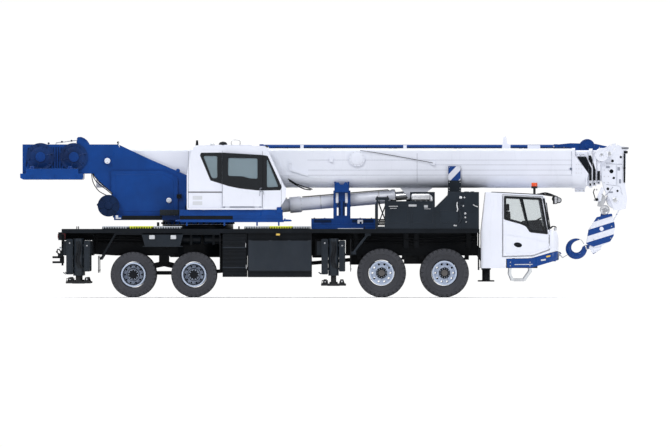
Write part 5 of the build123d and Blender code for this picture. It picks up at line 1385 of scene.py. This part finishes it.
def boom_mouths():
    """Slanted front frame of the base, black panels of painted shade in the gaps beside the nested sections,
    and the bolts there.
    """
    for body, y, outlines in MOUTH_SHADE_PANELS:
        dark, bright = Parts(), Parts()
        front = max(x for outline in outlines for x, _ in outline)
        for outline in outlines:
            # Each outline is a black panel of painted shade
            dark.prism(outline, y, y - 0.003)
        bright.bolts([(front - 0.035, y, 2.768)], NEAR, 0.013)
        bright.bolts([(front - 0.02, y, z) for z in (3.44, 3.48)], NEAR, 0.01, 0.01)
        dark.both().make(f"mouth_shade_panels_{body}", "black", body)
        bright.both().make(f"mouth_bolts_{body}", "steel", body)
    slanted, bolts = Parts(), Parts()
    edge = [(5.955, 3.5), (5.955, 3.405), (6.262, 2.995), (6.262, 2.7), (6.29, 2.7), (6.29, 3.01),
            (5.985, 3.418), (5.985, 3.5)]
    face = -0.4305
    slanted.prism(edge, face, face - 0.016)
    for x in (6.045, 6.15):
        slanted.plate(x, 3.39, x + 0.075, 3.46, 0.01, face, face - 0.012)
    bolts.bolts([(x, face - 0.012, 3.425) for x in (6.065, 6.1, 6.17, 6.205)], NEAR, 0.009, 0.008)
    bolts.bolts([(5.9, face, 3.08)], NEAR, 0.028, 0.03)
    slanted.both().make("mouth_frame", "white", "boom", 0.002)
    bolts.both().make("mouth_frame_bolts", "fastener", "boom")


def head_details():
    """Pin caps, guide bars, rimmed holes, ribs, recesses and sheaves of the boom head, and the anchor; black
    discs paint the shade in the holes, grey tubes the ribs' shadows and grey patches the recesses' shade.
    """
    dark, steel, white, shadow = Parts(), Parts(), Parts(), Parts()
    face = -0.29
    dark.boxes((7.165, face - 0.03, 2.75, 7.205, face, 3.44), (7.12, face - 0.02, 3.565, 7.285, face, 3.59))
    dark.lathe([(0.03, 0), (0.03, 0.03), (0.015, 0.04)], (7.185, face - 0.028, 3.1), NEAR, 20)
    dark.plate(7.17, 3.45, 7.265, 3.51, 0.01, face, face - 0.03)
    for x, z in ((6.96, 2.33), (6.82, 3.44)):
        steel.lathe([(0.055, 0), (0.055, 0.01), (0.04, 0.018)], (x, -0.31, z), NEAR, 28)
        white.lathe([(0.085, 0), (0.085, 0.012), (0.07, 0.0195)], (x, face, z))
    steel.bolts([(x, face, z) for x in (6.7, 6.8) for z in (2.75, 2.9, 3.05)], NEAR, 0.013)
    for x, z, r in ((6.875, 3.02, 0.05), (6.93, 2.86, 0.03), (6.79, 2.6, 0.035), (7.02, 2.55, 0.028),
                    (6.9, 3.27, 0.035), (7.1, 3.36, 0.03)):
        # Black disc: painted shade inside the hole
        dark.lathe([(r, 0), (r, 0.002)], (x, face, z), NEAR, 24)
        rim = [(r + 0.014, -0.004), (r + 0.014, 0.004), (r, 0.005), (r, 0.001)]
        white.lathe(rim, (x, face, z), NEAR, 24)
    for a, b in (((6.72, 3.22), (7.12, 3.2)), ((6.74, 2.72), (7.05, 2.68)), ((6.99, 2.7), (6.99, 3.19)),
                 ((6.73, 2.45), (6.9, 2.66)), ((7.12, 2.48), (7.06, 2.68))):
        white.tube([(x, face, z) for x, z in (a, b)], 0.011, 6)
        # Grey tube beside each rib: its painted shadow
        shadow.tube([(x + 0.014, face, z - 0.014) for x, z in (a, b)], 0.006, 6)
    for x, z, w, h in ((6.79, 3.12, 0.045, 0.025), (7.05, 3.08, 0.03, 0.04), (6.86, 2.52, 0.05, 0.02),
                       (7.08, 2.78, 0.025, 0.05)):
        # Grey patch: painted shade of a recess
        shadow.plate(x - w, z - h, x + w, z + h, 0.01, face, face - 0.006)
    for part in (dark, steel, white, shadow):
        part.both()
    cover = [(0.161, 0.0), (0.161, 0.006), (0.145, 0.012), (0.12, 0.004), (0.06, 0.004), (0.05, 0.02)]
    white.lathe(cover, (6.635, -0.4495, 3.42), NEAR, 48)
    steel.disc((6.635, -0.44, 3.42), (6.635, -0.478, 3.42), 0.028, 20)
    dark.lathe([(0.035, 0), (0.035, 0.05)], (6.525, -0.29, 2.345), NEAR, 20)
    dark.tube([(6.5, -0.29, 2.32), (6.44, -0.295, 2.52), (6.47, -0.295, 2.6)], 0.012)
    white.prism(rounded([(6.48, 2.3), (6.62, 2.3), (6.7, 2.6), (6.64, 2.66)], 0.03), -0.285, -0.262)
    for y in (-0.1, -0.035, 0.035, 0.1):
        for x, z, inner, outer, sides in ((6.96, 2.33, 0.192, 0.205, 48), (6.82, 3.44, 0.132, 0.142, 40)):
            flange = [(inner, -0.006), (outer, -0.003), (outer, 0.003), (inner, 0.006)]
            steel.lathe(flange, (x, y, z), (0, 1, 0), sides)
    for x, z in ((6.47, 2.33), (6.6, 2.24), (6.66, 2.46), (6.52, 2.58)):
        steel.disc((x, -0.3, z), (x, -0.24, z), 0.022, 16)
    steel.prism(rounded([(6.53, 2.18), (6.68, 2.16), (6.74, 2.42), (6.6, 2.5)], 0.03), -0.255, -0.235)
    shadow.make("head_painted_shade", "seam", "boom_section_5", 0.001)
    dark.make("head_dark", "black", "boom_section_5", 0.002)
    steel.make("head_steel", "steel", "boom_section_5")
    white.make("head_white", "white", "boom_section_5", 0.002)


def jib_details():
    """Pins, lugs, brackets and the ring sheave's rim on the stowed jib."""
    steel, blue, white = Parts(), Parts(), Parts()
    sheave = [(0.185, 0), (0.185, 0.012), (0.165, 0.02), (0.165, 0.004), (0.06, 0.004), (0.05, 0.03)]
    for y, outward in ((0.54, -1), (1.01, 1)):
        for x in (-1.45, 5.5):
            for z in (2.995, 3.62):
                steel.disc((x, y - 0.06, z), (x, y + 0.06, z), 0.018, 16)
        out = (0, outward, 0)
        blue.lathe(sheave, (6.305, y + outward * 0.0205, 3.615), out, 48)
        spots = ((6.6, 3.6), (6.78, 3.56), (5.75, 3.6), (5.95, 3.52))
        steel.bolts([(x, y + outward * 0.02, z) for x, z in spots], out)
    for x in (-1.52, 5.55):
        for z in (2.995, 3.62):
            blue.box((x - 0.05, 0.49, z - 0.06), (x + 0.05, 0.505, z + 0.055))
            blue.disc((x, 0.495, z), (x, 0.545, z), 0.03, 20)
    for x in (-0.9, 1.9, 4.9):
        white.plate(x - 0.08, 2.94, x + 0.08, 3.05, 0.02, 0.445, 0.455)
    steel.make("jib_pins", "steel", "boom")
    blue.make("jib_lugs", "blue", "boom", 0.002)
    white.make("jib_brackets", "white", "boom", 0.002)


def lift_cylinder_details():
    """Pipes, bands, collar bolts and wiper ring of the lift cylinder, placed along its axis."""
    foot, eye = Vector((-2.685, 0, 2.055)), Vector((2.095, 0, 2.455))
    along = (eye - foot).normalized()
    across = Vector((0, 1, 0))
    up = along.cross(across)
    dark, steel = Parts(), Parts()

    def place(reach, out, y=0.0):
        return foot + along * reach + up * out + across * y

    for y in (-0.05, 0.05):
        dark.tube([place(0.35, 0.1, y), place(0.38, 0.172, y), place(1.8, 0.172, y)], 0.012)
        dark.tube([place(2.16, 0.172, y), place(4.22, 0.172, y), place(4.25, 0.15, y)], 0.012)
    for reach in (0.8, 1.4, 2.6, 3.3, 4.0):
        band = [(0.1565, -0.012), (0.161, -0.01), (0.161, 0.01), (0.1565, 0.012)]
        steel.lathe(band, place(reach, 0), along, 40)
    for c, s in circle(12):
        for start, end, out, radius in ((2.118, 2.136, 0.172, 0.011), (4.388, 4.402, 0.135, 0.01)):
            steel.disc(place(start, out * c, out * s), place(end, out * c, out * s), radius, 6)
    dark.lathe([(0.118, 0), (0.118, 0.014), (0.107, 0.02)], place(4.388, 0), along, 36)
    dark.make("lift_pipes", "black", "lift_barrel")
    steel.make("lift_bands", "steel", "lift_barrel")


def block_details():
    """Pin discs, bolts, foot plates and sheave faces of the hook block."""
    steel, white = Parts(), Parts()
    face = -0.21
    white.lathe([(0.05, 0), (0.05, 0.01), (0.03, 0.016)], (6.64, face, 1.64))
    spots = ((6.86, 1.93), (6.56, 1.86), (6.45, 1.38), (6.86, 1.42), (6.37, 1.66), (6.88, 1.7))
    steel.bolts([(x, face, z) for x, z in spots], NEAR, 0.014, 0.014)
    foot = [(6.36, 1.25), (6.34, 1.19), (6.43, 1.05), (6.61, 1.15), (6.655, 1.245), (6.48, 1.205)]
    white.prism(foot, -0.1715, -0.178)
    sheave = [(0.117, 0), (0.117, 0.008), (0.095, 0.012), (0.08, 0.002), (0.035, 0.002), (0.03, 0.02)]
    steel.lathe(sheave, (6.72, -0.0895, 2.095), NEAR, 40)
    steel.both().make("block_steel", "steel", "hook_block")
    white.both().make("block_foot_plates", "white", "hook_block", 0.002)


# The hook's bow: angle in degrees, radius of the middle line, half depth in the plane, half width across
HOOK_STATIONS = (
    (14, 0.2, 0.052, 0.052), (0, 0.197, 0.062, 0.058), (-25, 0.19, 0.074, 0.062),
    (-60, 0.184, 0.08, 0.064), (-95, 0.182, 0.082, 0.066), (-130, 0.184, 0.08, 0.064),
    (-165, 0.186, 0.074, 0.06), (-195, 0.187, 0.066, 0.054), (-225, 0.19, 0.056, 0.048),
    (-250, 0.196, 0.044, 0.042), (-272, 0.206, 0.031, 0.034), (-287, 0.219, 0.018, 0.022),
    (-292, 0.226, 0.006, 0.008),
)


def forged_hook():
    """Forged hook whose section swells at the back and thins to the tip, its shank, nut and latch."""
    centre = Vector((6.035, 0, 1.175))
    fine = []
    for start, end in zip(HOOK_STATIONS, HOOK_STATIONS[1:]):
        fine += [[a + k / 4 * (b - a) for a, b in zip(start, end)] for k in range(4)]
    fine.append(HOOK_STATIONS[-1])
    rings = []
    for angle, radius, depth, width in fine:
        a = math.radians(angle)
        out = Vector((math.cos(a), 0, math.sin(a)))
        rings.append([centre + out * (radius + depth * c) + Vector((0, width * s, 0)) for c, s in circle(20)])
    hook, steel = Parts().loft(rings), Parts()
    axis = Vector((0.953, 0, 0.303))
    root = Vector((6.3, 0, 1.205))
    hook.lathe([(0.05, 0), (0.056, 0.02), (0.056, 0.115)], root - axis * 0.089, axis)
    piece = hook.make("forged_hook", "blue", "hook", smooth_angle=50)
    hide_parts("hook")
    steel.lathe([(0.058, 0), (0.066, 0.008), (0.066, 0.03), (0.058, 0.036)], root - axis * 0.052, axis)
    for y in (-0.052, 0.052):
        steel.tube([(6.215, y, 1.285), (6.16, y * 0.8, 1.37), (6.1, y * 0.6, 1.4)], 0.008)
    steel.disc((6.215, -0.065, 1.285), (6.215, 0.065, 1.285), 0.012, 16)
    steel.make("hook_latch", "steel", "hook")


boom_skin()
boom_mouths()
head_details()
jib_details()
lift_cylinder_details()
block_details()
forged_hook()


# Stage, light and camera

# Sun lamps: name, direction it shines from, spread in degrees, strength
LAMPS = (
    ("key", (-9.0, -15.0, 14.5), 23.0, 1.24),
    ("fill", (14.0, -14.0, 5.5), 25.0, 0.64),
    ("top", (0.0, 3.0, 16.5), 48.0, 1.2),
    ("rear", (-16.0, 9.0, 6.5), 26.0, 0.55),
)
FLOOR_HALF = (17, 12)
LENS_MM = 900.0
SENSOR_MM = 36.0
FRAME_WIDTH = 16.08
TARGET = (0.245, 0.0, 1.769)


def studio():
    """Pale floor, soft lights and the long lens that looks at the crane's side."""
    scene = bpy.context.scene
    mesh = bpy.data.meshes.new("floor")
    x, y = FLOOR_HALF
    mesh.from_pydata([(-x, -y, 0), (x, -y, 0), (x, y, 0), (-x, y, 0)], [], [(0, 1, 2, 3)])
    mesh.materials.append(M["floor"])
    obj = bpy.data.objects.new("floor", mesh)
    scene.collection.objects.link(obj)
    world = bpy.data.worlds.new("studio")
    world.use_nodes = True
    tree = world.node_tree
    place = add_node(tree, "TexCoord", {}).outputs["Generated"]
    split = add_node(tree, "SeparateXYZ", {"Vector": place})
    backdrop = mix_colour(tree, map_range(tree, split.outputs["Y"], -0.5, 0.6), (0.42, 0.43, 0.46),
                          (1.02, 1.02, 1.02))
    tree.links.new(backdrop, tree.nodes["Background"].inputs["Color"])
    scene.world = world
    for name, place, spread, strength in LAMPS:
        light = bpy.data.lights.new(name, "SUN")
        light.angle = math.radians(spread)
        light.energy = strength
        lamp = bpy.data.objects.new(name, light)
        lamp.location = place
        lamp.rotation_euler = Vector(place).to_track_quat("Z", "Y").to_euler()
        scene.collection.objects.link(lamp)
    camera = bpy.data.cameras.new("camera")
    camera.lens = LENS_MM
    camera.sensor_width = SENSOR_MM
    camera.clip_end = 2000.0
    eye = bpy.data.objects.new("camera", camera)
    target = Vector(TARGET)
    eye.location = target + Vector((0.0, -FRAME_WIDTH * LENS_MM / SENSOR_MM, 0.0))
    eye.rotation_euler = (target - eye.location).to_track_quat("-Z", "Y").to_euler()
    scene.collection.objects.link(eye)
    scene.camera = eye
    scene.view_settings.view_transform = "Standard"


studio()
